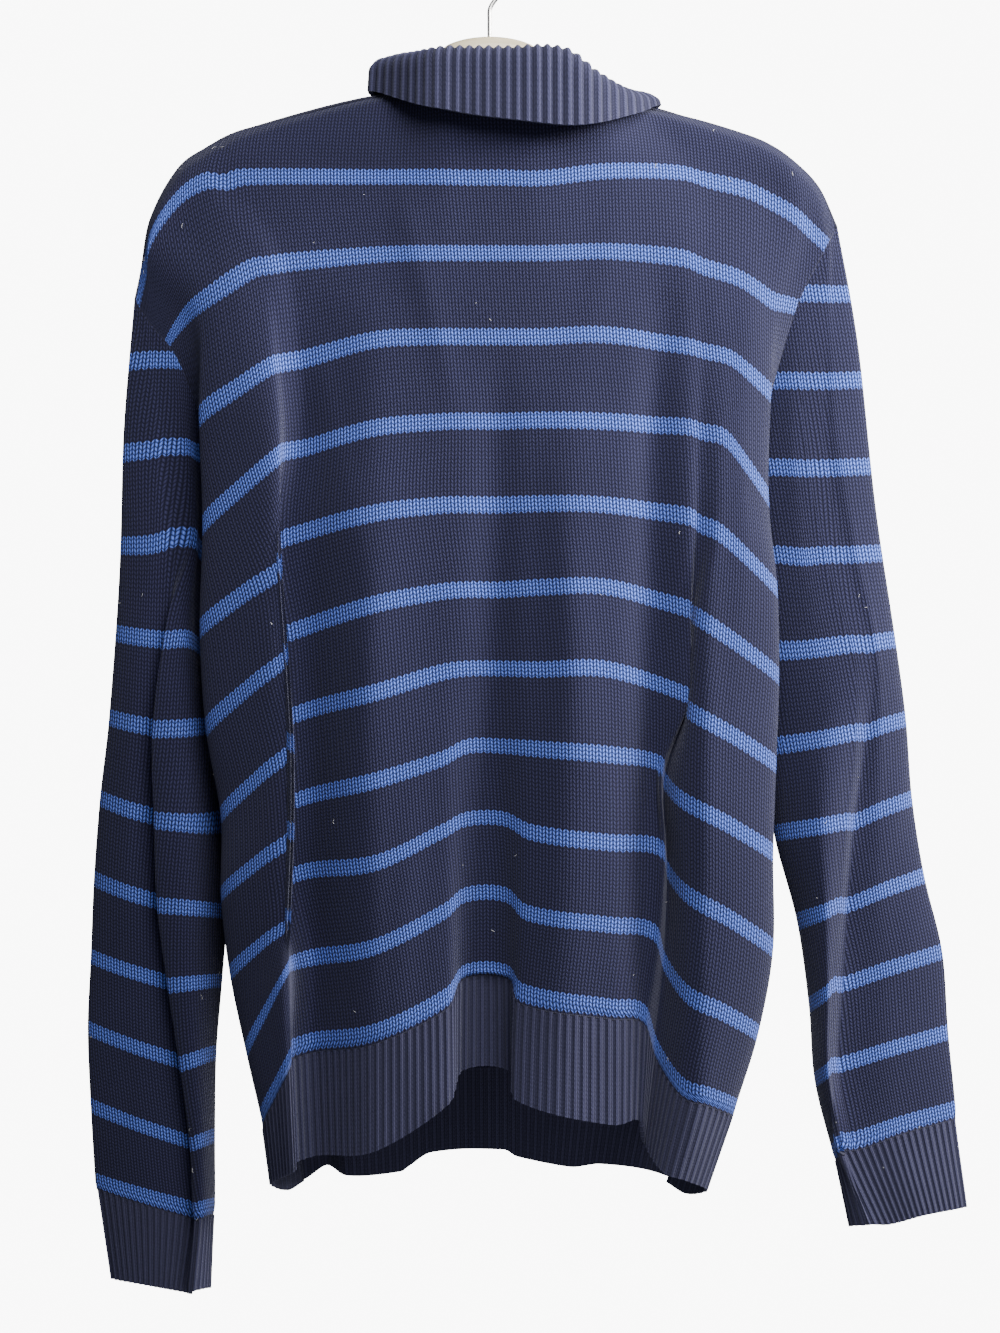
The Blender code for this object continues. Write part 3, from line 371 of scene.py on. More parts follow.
# Soft creases: x and drop of each end, half width, and how far the cloth stands out there
BACK_CREASES = (
    (-60, 175, -20, 330, 9, 1.6),
    (90, 170, 60, 300, 10, 1.5),
    (-120, 260, -85, 430, 9, 1.8),
    (120, 240, 95, 420, 10, -1.6),
    (-75, 430, -95, 620, 10, 1.8),
    (45, 360, 60, 560, 11, 1.6),
    (80, 480, 95, 700, 9, -1.8),
    (-50, 560, -60, 760, 8, 1.5),
    (-121, 260, -118, 870, 13, -6.0),
    (-80, 260, -82, 870, 20, 5.0),
    (6, 290, -3, 830, 14, -8.0),
    (56, 280, 48, 860, 20, 7.0),
    (112, 230, 100, 840, 14, -12.0),
    (147, 240, 134, 820, 10, 4.0),
)
FRONT_CREASES = (
    (-92, 280, -98, 860, 16, -8.0),
    (-52, 300, -50, 850, 18, 5.0),
    (66, 290, 56, 860, 16, -8.0),
    (104, 260, 98, 850, 18, 5.0),
    (-12, 460, -18, 850, 13, 5.0),
    (-110, 230, -80, 420, 10, 1.7),
    (115, 240, 90, 430, 10, 1.7),
    (-60, 400, -75, 600, 11, 1.6),
    (70, 380, 60, 560, 11, -1.6),
    (-20, 480, -35, 700, 10, 1.8),
    (95, 520, 85, 720, 9, 1.6),
    (30, 560, 45, 760, 9, -1.5),
)
LEFT_CREASES = (
    (-236, 640, -224, 560, 6, -1.5),
    (-245, 720, -228, 690, 6, -1.4),
    (-240, 800, -226, 770, 6, 1.2),
)
RIGHT_CREASES = (
    (246, 535, 237, 600, 7, -2.0),
    (236, 595, 234, 690, 7, -2.0),
    (280, 560, 262, 620, 8, 1.6),
    (290, 660, 268, 700, 8, 1.4),
)

# Lights: name, place, size, power and colour
LIGHTS = (
    ("key", (1.6, -0.42, 0.35), 0.6, 118.0, (1.0, 0.97, 0.92)),
    ("fill", (-1.4, -1.9, -0.6), 1.4, 4.0, (0.97, 0.98, 1.0)),
    ("top", (0.3, -0.85, 0.4), 0.9, 34.0, (1.0, 0.98, 0.94)),
    ("low", (0.6, -1.2, -1.8), 1.2, 13.0, (1.0, 0.98, 0.93)),
)
AIM = (0.0, 0.0, -0.45)
WORLD_LIGHT = 0.22
PAPER_GLOW = 9.0
PAPER_SIZE = 6.0
PAPER_PLACE = (0.0, 9.0, -0.5)
MADE = {}


def spline(knots, values, at):
    """A smooth curve through the values at the knots, read at each of the places asked for."""
    knots = np.asarray(knots, float)
    values = np.asarray(values, float)
    spread = (-1,) + (1,) * (values.ndim - 1)
    slopes = np.empty_like(values)
    slopes[1:-1] = (values[2:] - values[:-2]) / (knots[2:] - knots[:-2]).reshape(spread)
    slopes[0] = (values[1] - values[0]) / (knots[1] - knots[0])
    slopes[-1] = (values[-1] - values[-2]) / (knots[-1] - knots[-2])
    at = np.asarray(at, float)
    left = np.clip(np.searchsorted(knots, at, side="right") - 1, 0, len(knots) - 2)
    step = (knots[left + 1] - knots[left]).reshape(spread)
    t = (at - knots[left]).reshape(spread) / step
    return (
        (2 * t**3 - 3 * t**2 + 1) * values[left]
        + (t**3 - 2 * t**2 + t) * step * slopes[left]
        + (3 * t**2 - 2 * t**3) * values[left + 1]
        + (t**3 - t**2) * step * slopes[left + 1]
    )


def knots_of(sections):
    """Knots along each section's points, spaced as the points are on average."""
    steps = np.linalg.norm(np.diff(sections[..., :3], axis=1), axis=2).mean(axis=0)
    return np.append(0.0, np.cumsum(steps))


def between(knots, parts):
    """The knots, with the stretch between each two of them cut into equal parts."""
    starts, ends = knots[:-1, None], knots[1:, None]
    places = starts + (ends - starts) * np.arange(parts) / parts
    return np.append(places, knots[-1])


def loft(sections, across, down):
    """A grid through the sections, with each stretch cut into parts across and down."""
    knots = knots_of(sections)
    wide = spline(knots, np.swapaxes(sections, 0, 1), between(knots, across))
    knots = knots_of(wide)
    return spline(knots, np.swapaxes(wide, 0, 1), between(knots, down))


def seen(points):
    """Points read from behind, drawn in towards the line of sight when they stand nearer the eye."""
    points = np.array(points, float)
    nearer = (VIEW_DISTANCE + np.minimum(points[..., 1], 0.0)) / VIEW_DISTANCE
    points[..., 0] = VIEW_X + (points[..., 0] - VIEW_X) * nearer
    points[..., 2] = -VIEW_DROP + (points[..., 2] + VIEW_DROP) * nearer
    return points


def unit(vectors):
    """The vectors, each made one long."""
    return vectors / np.linalg.norm(vectors, axis=-1, keepdims=True)


def normals(grid, ring=False):
    """The directions that stand square on a grid of points, which may close on itself across."""
    if ring:
        across = np.roll(grid, -1, axis=1) - np.roll(grid, 1, axis=1)
    else:
        across = np.gradient(grid, axis=1)
    return unit(np.cross(np.gradient(grid, axis=0), across))


def level(vectors):
    """The vectors turned into the plane that has no depth, as a seam between front and back needs."""
    return unit(vectors * (1.0, 0.0, 1.0))


def pleat_share(index):
    """How far the back's middle pleat has opened at a stripe."""
    return max(0.0, (index - PLEAT_START) / (len(BACK_STRIPES) - 1 - PLEAT_START))


def over_hanger(rows):
    """Rows of x and z, with one added below the top edge, where the cloth turns over the hanger."""
    rows = np.array(rows, float) * (1.0, -1.0)
    return np.insert(rows, 1, rows[0] + OVER_HANGER * unit(rows[1] - rows[0]), axis=0)


def part_way(one, other, across, down, lower=0.0):
    """A point between two given as x and drop, by its shares of the way across and down."""
    x = one[0] + (other[0] - one[0]) * across
    return x, one[1] + (other[1] - one[1]) * down + lower


def standing(depths):
    """How far each fold line stands off the middle of the garment, row by row."""
    rows = range(len(BACK_STRIPES) + 2)
    return np.array([np.interp(rows, DEPTH_ROWS, row[1:]) for row in depths]).T


def back_sections():
    """Rows of points: the top edge, the turn over the hanger, the stripes and the rib's two edges."""
    rows = [BACK_TOP]
    for index, (values, seams) in enumerate(zip(BACK_STRIPES, SIDE_SEAMS)):
        at = dict(zip(BACK_COLUMNS, values))
        lobe_l, ridge_l, panel_r, ridge_r, lobe_r = (
            (at[f"x_{line}"], at[line])
            for line in ("lobe_l", "ridge_l", "panel_r", "ridge_r", "lobe_r")
        )
        seam_l, seam_r = seams[:2], seams[2:]
        loose = 1.0 - pleat_share(index)
        pleat = 0.5 * (at["crease_l"] + at["crease_r"]) - PLEAT_LIFT * pleat_share(index)
        sag = HEM_SAG if index == len(BACK_STRIPES) - 1 else 0.0
        open_l = np.clip((at["ridge_l"] - at["panel_l"]) / 20, 0, 1) * min(1.0, index / 3)
        open_r = np.clip((at["ridge_r"] - at["panel_r"]) / 24, 0, 1)
        valley_x, valley_drop = part_way(panel_r, ridge_r, 0.5, 0.5)
        rows.append((
            seam_l,
            part_way(lobe_l, seam_l, 0.5, 0.55, sag),
            lobe_l,
            part_way(lobe_l, ridge_l, 0.55, 0.58),
            ridge_l,
            (ridge_l[0] + 13 - 27 * open_l, 0.5 * (at["ridge_l"] + at["panel_l"])),
            (ridge_l[0] + 26 - 22 * open_l, at["panel_l"]),
            (MID_L, at["mid_l"]),
            (CREASE_L - 6 * loose, at["crease_l"]),
            (PLEAT_L + 4 * loose, pleat),
            (PLEAT_R - 5 * loose, pleat),
            (CREASE_R + 16 * loose, at["crease_r"]),
            (MID_R, at["mid_r"]),
            panel_r,
            (valley_x - 4 * open_r, valley_drop),
            ridge_r,
            part_way(ridge_r, lobe_r, 0.5, 0.45),
            lobe_r,
            part_way(lobe_r, seam_r, 0.5, 0.5, sag),
            seam_r,
        ))
    rows = over_hanger(rows)
    stand = standing(BACK_DEPTHS)
    for index in range(len(BACK_STRIPES)):
        stand[index + 2, PLEAT_COLUMNS] -= PLEAT_DEPTH * pleat_share(index)
    return seen(np.stack([rows[..., 0], -stand, rows[..., 1]], axis=-1))


def front_sections():
    """The front's rows, level with the back's at the side seams and lower towards the middle."""
    rows = [FRONT_TOP]
    for index, (values, seams) in enumerate(zip(BACK_STRIPES, SIDE_SEAMS)):
        at = dict(zip(BACK_COLUMNS, values))
        seam_l, left_drop, seam_r, right_drop = seams
        lobe_l, lobe_r = at["x_lobe_l"], at["x_lobe_r"]
        middle = 0.5 * (at["crease_l"] + at["crease_r"]) + FRONT_DROP
        slot = ZIP_SLOT / 2 if index else NECK_SLOT_HALF
        places = [(seam_l, 1.0), (0.5 * (seam_l + lobe_l), 1.0)]
        places += [(lobe_l * out, share) for out, share in FRONT_LEFT]
        places += [(ZIP_X - slot, 0.0), (ZIP_X + slot, 0.0)]
        places += [(lobe_r * out, share) for out, share in FRONT_RIGHT]
        places += [(0.5 * (seam_r + lobe_r), 1.0), (seam_r, 1.0)]
        row = [
            (x, middle + ((left_drop if x < ZIP_X else right_drop) - middle) * share)
            for x, share in places
        ]
        if index == len(BACK_STRIPES) - 1:
            row[1:-1] = [(x, np.interp(x, *zip(*FRONT_HEM))) for x, _ in row[1:-1]]
        rows.append(row)
    rows = over_hanger(rows)
    return np.stack([rows[..., 0], standing(FRONT_DEPTHS), rows[..., 1]], axis=-1)


def courses(sections, shoulder):
    """How far down the courses each section's points lie, with the stripes evenly spaced.

    The first stripes' rows lie farther down at the left shoulder, by the amounts given.
    """
    down = np.empty(sections.shape[:2])
    down[2:RIB_ROW] = STRIPE_PITCH * np.arange(1, RIB_ROW - 1)[:, None]
    for row, added in enumerate(shoulder):
        down[row + 2, : len(added)] += added
    down[RIB_ROW] = down[RIB_ROW - 1] + RIB_BELOW
    down[RIB_ROW + 1] = down[RIB_ROW] + HEM_DEPTH
    for row in (1, 0):
        down[row] = down[row + 1] - np.linalg.norm(sections[row + 1] - sections[row], axis=1)
    return down


def wales(sections, down):
    """How far across the wales each point lies, as if the cloth were laid flat.

    A step across has the length that is left of it once its fall down the courses is taken out. A
    step down has the part of it that lies along the course, and weighs little, as knitted cloth
    shears easily. Least squares spreads what doesn't fit.
    """
    over, fall = np.gradient(sections, axis=1), np.gradient(sections, axis=0)
    over_down, fall_down = np.gradient(down, axis=1), np.gradient(down, axis=0)
    course = unit(over * fall_down[..., None] - fall * over_down[..., None])
    rows, columns = down.shape
    place = np.arange(rows * columns).reshape(rows, columns)
    step = np.linalg.norm(np.diff(sections, axis=1), axis=-1)
    width = np.sqrt(np.maximum(step**2 - np.diff(down, axis=1) ** 2, (LEAST_WIDTH * step) ** 2))
    slip = (np.diff(sections, axis=0) * 0.5 * (course[1:] + course[:-1])).sum(-1)
    pairs = np.concatenate([
        np.stack([place[:, :-1].ravel(), place[:, 1:].ravel()], axis=1),
        np.stack([place[:-1].ravel(), place[1:].ravel()], axis=1),
    ])
    lengths = np.concatenate([width.ravel(), slip.ravel(), [0.0]])
    weights = np.repeat((1.0, SHEAR_WEIGHT, 1.0), (width.size, slip.size, 1))
    equations = np.zeros((len(lengths), rows * columns))
    each = np.arange(len(pairs))
    equations[each, pairs[:, 0]] = -weights[:-1]
    equations[each, pairs[:, 1]] = weights[:-1]
    equations[-1, place[rows // 2, columns // 2]] = 1.0
    found = np.linalg.lstsq(equations, weights * lengths, rcond=None)[0]
    return found.reshape(rows, columns)


def creased(points, out, creases):
    """The points pushed out or in along each crease, a ridge or trough that fades at its ends."""
    flat = points[..., (0, 2)]
    push = np.zeros(points.shape[:2])
    for start_x, start_drop, end_x, end_drop, width, height in creases:
        start = np.array((start_x, -start_drop))
        run = np.array((end_x, -end_drop)) - start
        along = ((flat - start) @ run) / (run @ run)
        away = np.linalg.norm(flat - start - np.clip(along, 0, 1)[..., None] * run, axis=-1)
        fade = np.sin(math.pi * np.clip(along * 0.9 + 0.05, 0, 1))
        push += height * np.exp(-((away / width) ** 2)) * fade
    wave = np.sin(flat[..., 0] / 17 + 1.3 * np.sin(flat[..., 1] / 43))
    wave *= np.sin(flat[..., 1] / 29 + 1.7 * np.sin(flat[..., 0] / 61))
    return points + out * (0.0, 1.0, 0.0) * (push + CLOTH_WAVE * wave)[..., None]


def panel_grid(side, across, down):
    """A panel's outer points with their places in the knit, and the points' outward normals.

    side is -1 for the back and +1 for the front.
    """
    sections = back_sections() if side < 0 else front_sections()
    fall = courses(sections, SHOULDER_COURSES if side < 0 else ())
    knit = np.stack([wales(sections, fall), fall], axis=-1)
    grid = loft(np.concatenate([sections, knit], axis=-1), across, down)
    out = -side * normals(grid[..., :3])
    first, last = (column * across for column in NECK[side])
    shoulder = np.r_[0 : first + 1, last : grid.shape[1]]
    seam = np.r_[UNDERARM_ROW * down : grid.shape[0]]
    grid[:, 1:-1, 1] = side * np.maximum(grid[:, 1:-1, 1] * side, SEAM_GAP / 2)
    grid[0, shoulder, 1] = side * SEAM_GAP / 2
    grid[seam[:, None], (0, -1), 1] = side * SEAM_GAP / 2
    if side > 0:
        left, right = (column * across for column in SLOT)
        grid[down:, left, 0] = np.minimum(grid[down:, left, 0], ZIP_X - ZIP_SLOT / 2)
        grid[down:, right, 0] = np.maximum(grid[down:, right, 0], ZIP_X + ZIP_SLOT / 2)
    out[0, shoulder] = level(out[0, shoulder])
    out[seam[:, None], (0, -1)] = level(out[seam[:, None], (0, -1)])
    return grid, out


def fine_panel(side):
    """A panel at the sheets' own fineness, with its creases in."""
    grid, out = panel_grid(side, ACROSS, DOWN)
    columns, rows = np.arange(grid.shape[1]), np.arange(grid.shape[0])
    edges = np.minimum(1.0, np.minimum(columns, columns[::-1]) / (EASED * ACROSS))
    top = np.minimum(1.0, rows / (EASED * DOWN))
    moved = creased(grid[..., :3], out, BACK_CREASES if side < 0 else FRONT_CREASES)
    grid[..., :3] += (moved - grid[..., :3]) * edges[:, None] * top[:, None, None]
    return grid, out


def unrolled(values, half):
    """A ring of values as an open row that starts and ends at its inner edge."""
    turned = np.roll(values, -half, axis=0)
    return np.concatenate([turned, turned[:1]])


def sleeve_ring(section, parts):
    """One section of a sleeve: outer edge, back with its lengthwise fold, inner edge, front."""
    outer_x, outer_drop, fold_x, fold_drop, inner_x, inner_drop, lap, depth = section[:8]
    outer_row, fold_row, inner_row = ((stripe + 1) * STRIPE_PITCH for stripe in section[8:])
    outer = np.array((outer_x, 0.0, -outer_drop, outer_row))
    fold = np.array((fold_x, 0.0, -fold_drop, fold_row))
    inner = np.array((inner_x, 0.0, -inner_drop, inner_row))
    folded = min(1.0, lap / 5.0)
    apart = FOLD_HALF * (1 - folded)

    def at(base, across, back):
        return base + (across, -back * depth, 0.0, 0.0)

    if outer_x < 0:
        over = at(fold, lap - apart, 0.36 + 0.04 * folded)
        under = at(fold, apart, 0.42 + 0.2 * folded)
    else:
        over = at(fold, 0.5 * lap + apart, 0.38)
        under = at(fold, -0.5 * lap - apart, 0.42 + 0.16 * folded)
    ring = [
        outer,
        at(0.5 * (outer + fold), 0.0, 0.34),
        over,
        under,
        at(0.6 * fold + 0.4 * inner, 0.0, 0.44 + 0.3 * folded),
        at(0.18 * fold + 0.82 * inner, 0.0, 0.26 + 0.14 * folded),
        inner,
        *(at(inner + (outer - inner) * share, 0.0, -forward) for share, forward in SLEEVE_FRONT),
    ]
    ring = seen(ring)
    before = 3
    padded = np.concatenate([ring[-before:], ring, ring[: before + 1]])
    knots = knots_of(padded[None])
    smooth = spline(knots, padded, between(knots, parts))
    return smooth[before * parts : (before + len(ring)) * parts]


def armhole(back, front, edge, down):
    """A ring of values of the panels round the armhole, down the back's edge and up the front's."""
    rows = UNDERARM_ROW * down + 1
    behind, before = back[:rows, edge], front[:rows, edge]
    shoulder, underarm = (0.5 * (behind[end] + before[end]) for end in (0, -1))
    return np.concatenate([[shoulder], behind[1:-1], [underarm], before[-2:0:-1]])


def sleeve_grid(side):
    """A sleeve and its cuff from the armhole down, as open rows that start at the inner edge."""
    edge, table, cuff_end, (first_drop, stripe_drop) = {
        "left": (0, LEFT_SLEEVE, LEFT_CUFF_END, LEFT_CAP),
        "right": (-1, RIGHT_SLEEVE, RIGHT_CUFF_END, RIGHT_CAP),
    }[side]

    def rings(across, down):
        back, front = (panel_grid(panel, 1, down)[0] for panel in (-1, 1))
        top = armhole(back, front, edge, down)[:, :4]
        top[:, 3] = STRIPE_PITCH * (2 - (top[:, 2] + first_drop) / stripe_drop)
        rows = [top] + [sleeve_ring(section, across) for section in (*table, cuff_end)]
        return np.array([unrolled(row, 6 * across) for row in rows])

    coarse, fine = rings(1, 1), rings(DOWN, DOWN)
    across = wales(coarse[..., :3], coarse[..., 3])
    knots = np.arange(coarse.shape[1], dtype=float)
    across = spline(knots, across.T, between(knots, DOWN)).T
    sections = np.concatenate([fine[..., :3], across[..., None], fine[..., 3:]], axis=-1)
    down = knots_of(np.swapaxes(sections, 0, 1))
    grid = spline(down, sections, between(down, SLEEVE_DOWN))
    if edge != 0:
        grid = grid[:, ::-1]
    out = ring_normals(grid[..., :3])
    rows = np.arange(grid.shape[0])
    ease = np.clip((rows - 0.6 * SLEEVE_DOWN) / (EASED * SLEEVE_DOWN), 0, 1)[:, None, None]
    moved = creased(grid[..., :3], out, LEFT_CREASES if side == "left" else RIGHT_CREASES)
    moved[:, -1] = moved[:, 0]
    grid[..., :3] += (moved - grid[..., :3]) * ease
    return grid, ring_normals(grid[..., :3]), SLEEVE_DOWN * len(table)


def ring_normals(points):
    """Outward normals of a tube given as open rows whose last point is their first."""
    out = normals(points[:, :-1], ring=True)
    return np.concatenate([out, out[:, :1]], axis=1)


def along(line):
    """How far along a line of points each of them lies."""
    return np.append(0.0, np.cumsum(np.linalg.norm(np.diff(line, axis=0), axis=1)))


def read_at(places, length, values):
    """Rows of values that lie at lengths along a line, read at other places along it."""
    return np.stack(
        [np.interp(places, length, values[:, axis]) for axis in range(values.shape[1])], axis=1
    )


def ribbed(grid, out, pitch):
    """A band's outer and inner points, ribbed outside and plain inside, with their knit places.

    Across the band the places count its ribs, whose crests lie at the halves.
    """
    length = along(grid[0, :, :3])
    ribs = round(length[-1] / pitch)
    steps = 2 * RIB_STEPS * ribs
    places = np.linspace(0, length[-1], steps + 1)
    base = np.stack([read_at(places, length, row) for row in grid])
    out = unit(np.stack([read_at(places, length, row) for row in out]))
    rib = np.arange(steps + 1) / (2 * RIB_STEPS)
    rise = size("rib_rise") * (np.sin(math.pi * rib) ** 2 - 0.5)[None, :, None]
    knit = np.stack([np.broadcast_to(rib, base.shape[:2]), base[..., -1] / ROW], axis=-1)
    return base[..., :3] + rise * out, base[..., :3] - size("rib_cloth") * out, knit


def stitched(grid):
    """The knit places of a sheet's points, counted in stitches."""
    return grid[..., 3:] / (WALE, ROW)


def wall(name, outer, inner, knit, finish, flip=False, ring=False, kept=None):
    """A closed wall of cloth between two grids of points, with its knit places as its UV map."""
    if flip:
        outer, inner, knit = outer[:, ::-1], inner[:, ::-1], knit[:, ::-1]
        kept = None if kept is None else kept[:, ::-1]
    rows, columns = outer.shape[:2]
    count = rows * columns
    uses = np.arange(count).reshape(rows, columns)
    corners = (uses[:-1, :-1], uses[1:, :-1], uses[1:, 1:], uses[:-1, 1:])
    quads = np.stack(corners, axis=-1).reshape(-1, 4)
    if kept is not None:
        quads = quads[kept.ravel()]
    merged = uses.copy()
    if ring:
        merged[:, -1] = merged[:, 0]
    merged = merged.ravel()
    edges = {}
    for quad in quads.tolist():
        for start, end in zip(quad, quad[1:] + quad[:1]):
            edges[(merged[start], merged[end])] = (start, end)
    rims = [
        (end, start, count + start, count + end)
        for (low, high), (start, end) in edges.items()
        if (high, low) not in edges
    ]
    loops = np.concatenate([quads, count + quads[:, ::-1], np.array(rims)])
    points = np.concatenate([outer.reshape(-1, 3), inner.reshape(-1, 3)]) * MM
    both = np.concatenate([merged, count + merged])
    kept_points, faces = np.unique(both[loops], return_inverse=True)
    mesh = bpy.data.meshes.new(name)
    mesh.from_pydata(points[kept_points].tolist(), [], faces.reshape(loops.shape).tolist())
    places = mesh.uv_layers.new(name=KNIT_UV)
    values = np.concatenate([knit.reshape(-1, 2)] * 2)[loops].reshape(-1)
    places.data.foreach_set("uv", values.astype(np.float32))
    return placed(name, smoothed(mesh, CLOTH_SHARP), finish)


def placed(name, mesh, finish, body="garment"):
    """An object made of the mesh, with its finish, that rides on a body of the frame."""
    mesh.update()
    mesh.materials.clear()
    mesh.materials.append(finish)
    piece = bpy.data.objects.new(name, mesh)
    bpy.context.scene.collection.objects.link(piece)
    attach(piece, body)
    return piece


def declare(piece, grid, replaced, kept=None):
    """Hide the frame's part that the piece replaces. The width, length and area that its cloth was
    knitted to are worked out but not kept.
    """
    across, down = grid[..., 3] * MM, grid[..., 4] * MM
    corner = np.stack([across, down], axis=-1)
    one = corner[1:, 1:] - corner[:-1, :-1]
    other = corner[:-1, 1:] - corner[1:, :-1]
    area = abs(one[..., 0] * other[..., 1] - one[..., 1] * other[..., 0]) / 2
    if kept is not None:
        area = area * kept
    width, length = (float(values.max() - values.min()) for values in (across, down))
    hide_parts(replaced)
    return piece


def neck_line(back, front):
    """The neck seam, from the zip's left edge over the back to its right edge."""
    left, slot_left, slot_right, right = (
        column * ACROSS for column in (NECK[1][0], *SLOT, NECK[1][1])
    )
    first, last = (column * ACROSS for column in NECK[-1])
    line = np.concatenate([
        front[0, left : slot_left + 1][::-1],
        back[0, first + 1 : last],
        front[0, slot_right : right + 1][::-1],
    ])
    line[:, 2] += COLLAR_GAP
    return line


def collar_profile(place):
    """The collar's section at a place along the neck seam: how far out and up each point lies."""
    places = [row[1] for row in COLLAR]
    stand, roll, fall = (
        spline(places, [row[column] for row in COLLAR], [place])[0] for column in (2, 3, 4)
    )
    return np.array((
        (-2.4, 0.0),
        (-2.8, 0.5 * stand),
        (-0.8, 0.88 * stand),
        (0.45 * roll, stand),
        (0.95 * roll, stand - 0.25 * roll),
        (roll + 0.5, stand - 0.25 * roll - 0.5 * (fall - 0.25 * roll)),
        (roll + 1.0, stand - fall),
    ))


def collar_grid(line):
    """The collar's middle surface, up from the neck seam and down over the roll, with its knit."""
    length = along(line[:, :3] * (1.0, 1.0, 0.0))
    seam = along(line[:, :3])
    ribs = round(length[-1] / COLLAR_RIB_PITCH)
    places = np.linspace(0, length[-1], 2 * RIB_STEPS * ribs + 1)
    base = read_at(places, length, line)
    shares = np.interp(places, length, seam) / seam[-1]
    outward = np.stack([(base[:, 0] - NECK_X) / NECK_WIDE**2, base[:, 1] / NECK_DEEP**2], axis=1)
    outward = unit(outward)
    profiles = np.stack([collar_profile(share) for share in shares], axis=1)
    knots = np.arange(len(profiles), dtype=float)
    profiles = spline(knots, profiles, between(knots, COLLAR_DOWN))
    grid = np.empty(profiles.shape[:2] + (5,))
    grid[..., :2] = base[:, :2] + outward * profiles[..., :1]
    grid[..., 2] = base[:, 2] + profiles[..., 1]
    grid[..., 3] = places
    grid[..., 4] = knots_of(np.swapaxes(grid, 0, 1))[:, None]
    return grid, ribs


def tube(name, lines, radius, resolution=3):
    """A mesh of round cords that follow lines of points, all joined as one."""
    data = bpy.data.curves.new(name, "CURVE")
    data.dimensions = "3D"
    data.bevel_depth = radius * MM
    data.bevel_resolution = resolution
    data.use_fill_caps = True
    for line in lines:
        run = data.splines.new("POLY")
        run.points.add(len(line) - 1)
        for point, place in zip(run.points, line):
            point.co = (*(value * MM for value in place), 1.0)
    return as_mesh(name, data)


def smoothed(mesh, sharp=40):
    """Shade the mesh smooth, but for its edges that turn by more than an angle in degrees."""
    mesh.shade_smooth()
    mesh.set_sharp_from_angle(angle=math.radians(sharp))
    return mesh


def as_mesh(name, data):
    """A curve's form as a mesh of its own."""
    bpy.ops.object.select_all(action="DESELECT")
    made = bpy.data.objects.new(name, data)
    bpy.context.scene.collection.objects.link(made)
    bpy.context.view_layer.objects.active = made
    made.select_set(True)
    bpy.ops.object.convert(target="MESH")
    mesh = made.data
    bpy.data.objects.remove(made, do_unlink=True)
    return smoothed(mesh)


def rounded(half, low, high, corner):
    """The outline of a rectangle with round corners, as x and z."""
    outline = []
    corners = ((half, high, 0), (-half, high, 90), (-half, low, 180), (half, low, 270))
    for x, z, start in corners:
        centre_x = x - math.copysign(corner, x)
        centre_z = z - corner if z == high else z + corner
        for step in range(7):
            angle = math.radians(start + 15 * step)
            outline.append(
                (centre_x + corner * math.cos(angle), centre_z + corner * math.sin(angle))
            )
    return outline


def plate(name, outlines, front, back, edge):
    """A plate cut to outlines, the second and later ones being holes, with its edges rounded."""
    data = bpy.data.curves.new(name, "CURVE")
    data.dimensions = "2D"
    data.fill_mode = "BOTH"
    data.extrude = (front - back) * MM / 2 - edge * MM
    data.bevel_depth = edge * MM
    data.offset = -edge * MM
    data.bevel_resolution = 2
    for outline in outlines:
        run = data.splines.new("POLY")
        run.points.add(len(outline) - 1)
        run.use_cyclic_u = True
        for point, (x, z) in zip(run.points, outline):
            point.co = (x * MM, z * MM, 0.0, 1.0)
    mesh = as_mesh(name, data)
    turn = Matrix.Rotation(math.radians(90), 4, "X")
    mesh.transform(Matrix.Translation((0, (front + back) / 2 * MM, 0)) @ turn)
    return mesh


def joined(name, meshes):
    """Several meshes as one."""
    whole = bmesh.new()
    for mesh in meshes:
        whole.from_mesh(mesh)
        bpy.data.meshes.remove(mesh)
    mesh = bpy.data.meshes.new(name)
    whole.to_mesh(mesh)
    whole.free()
    return smoothed(mesh)


def blocks(name, rows):
    """Small blocks, each given by its middle, its three half sides as vectors."""
    points, faces = [], []
    for middle, across, out, down in rows:
        start = len(points)
        for x, y, z in CORNERS:
            points.append(middle + x * across + y * out + z * down)
        faces += [[start + corner for corner in face] for face in SIDES]
    mesh = bpy.data.meshes.new(name)
    mesh.from_pydata([tuple(point * MM) for point in points], [], faces)
    return mesh


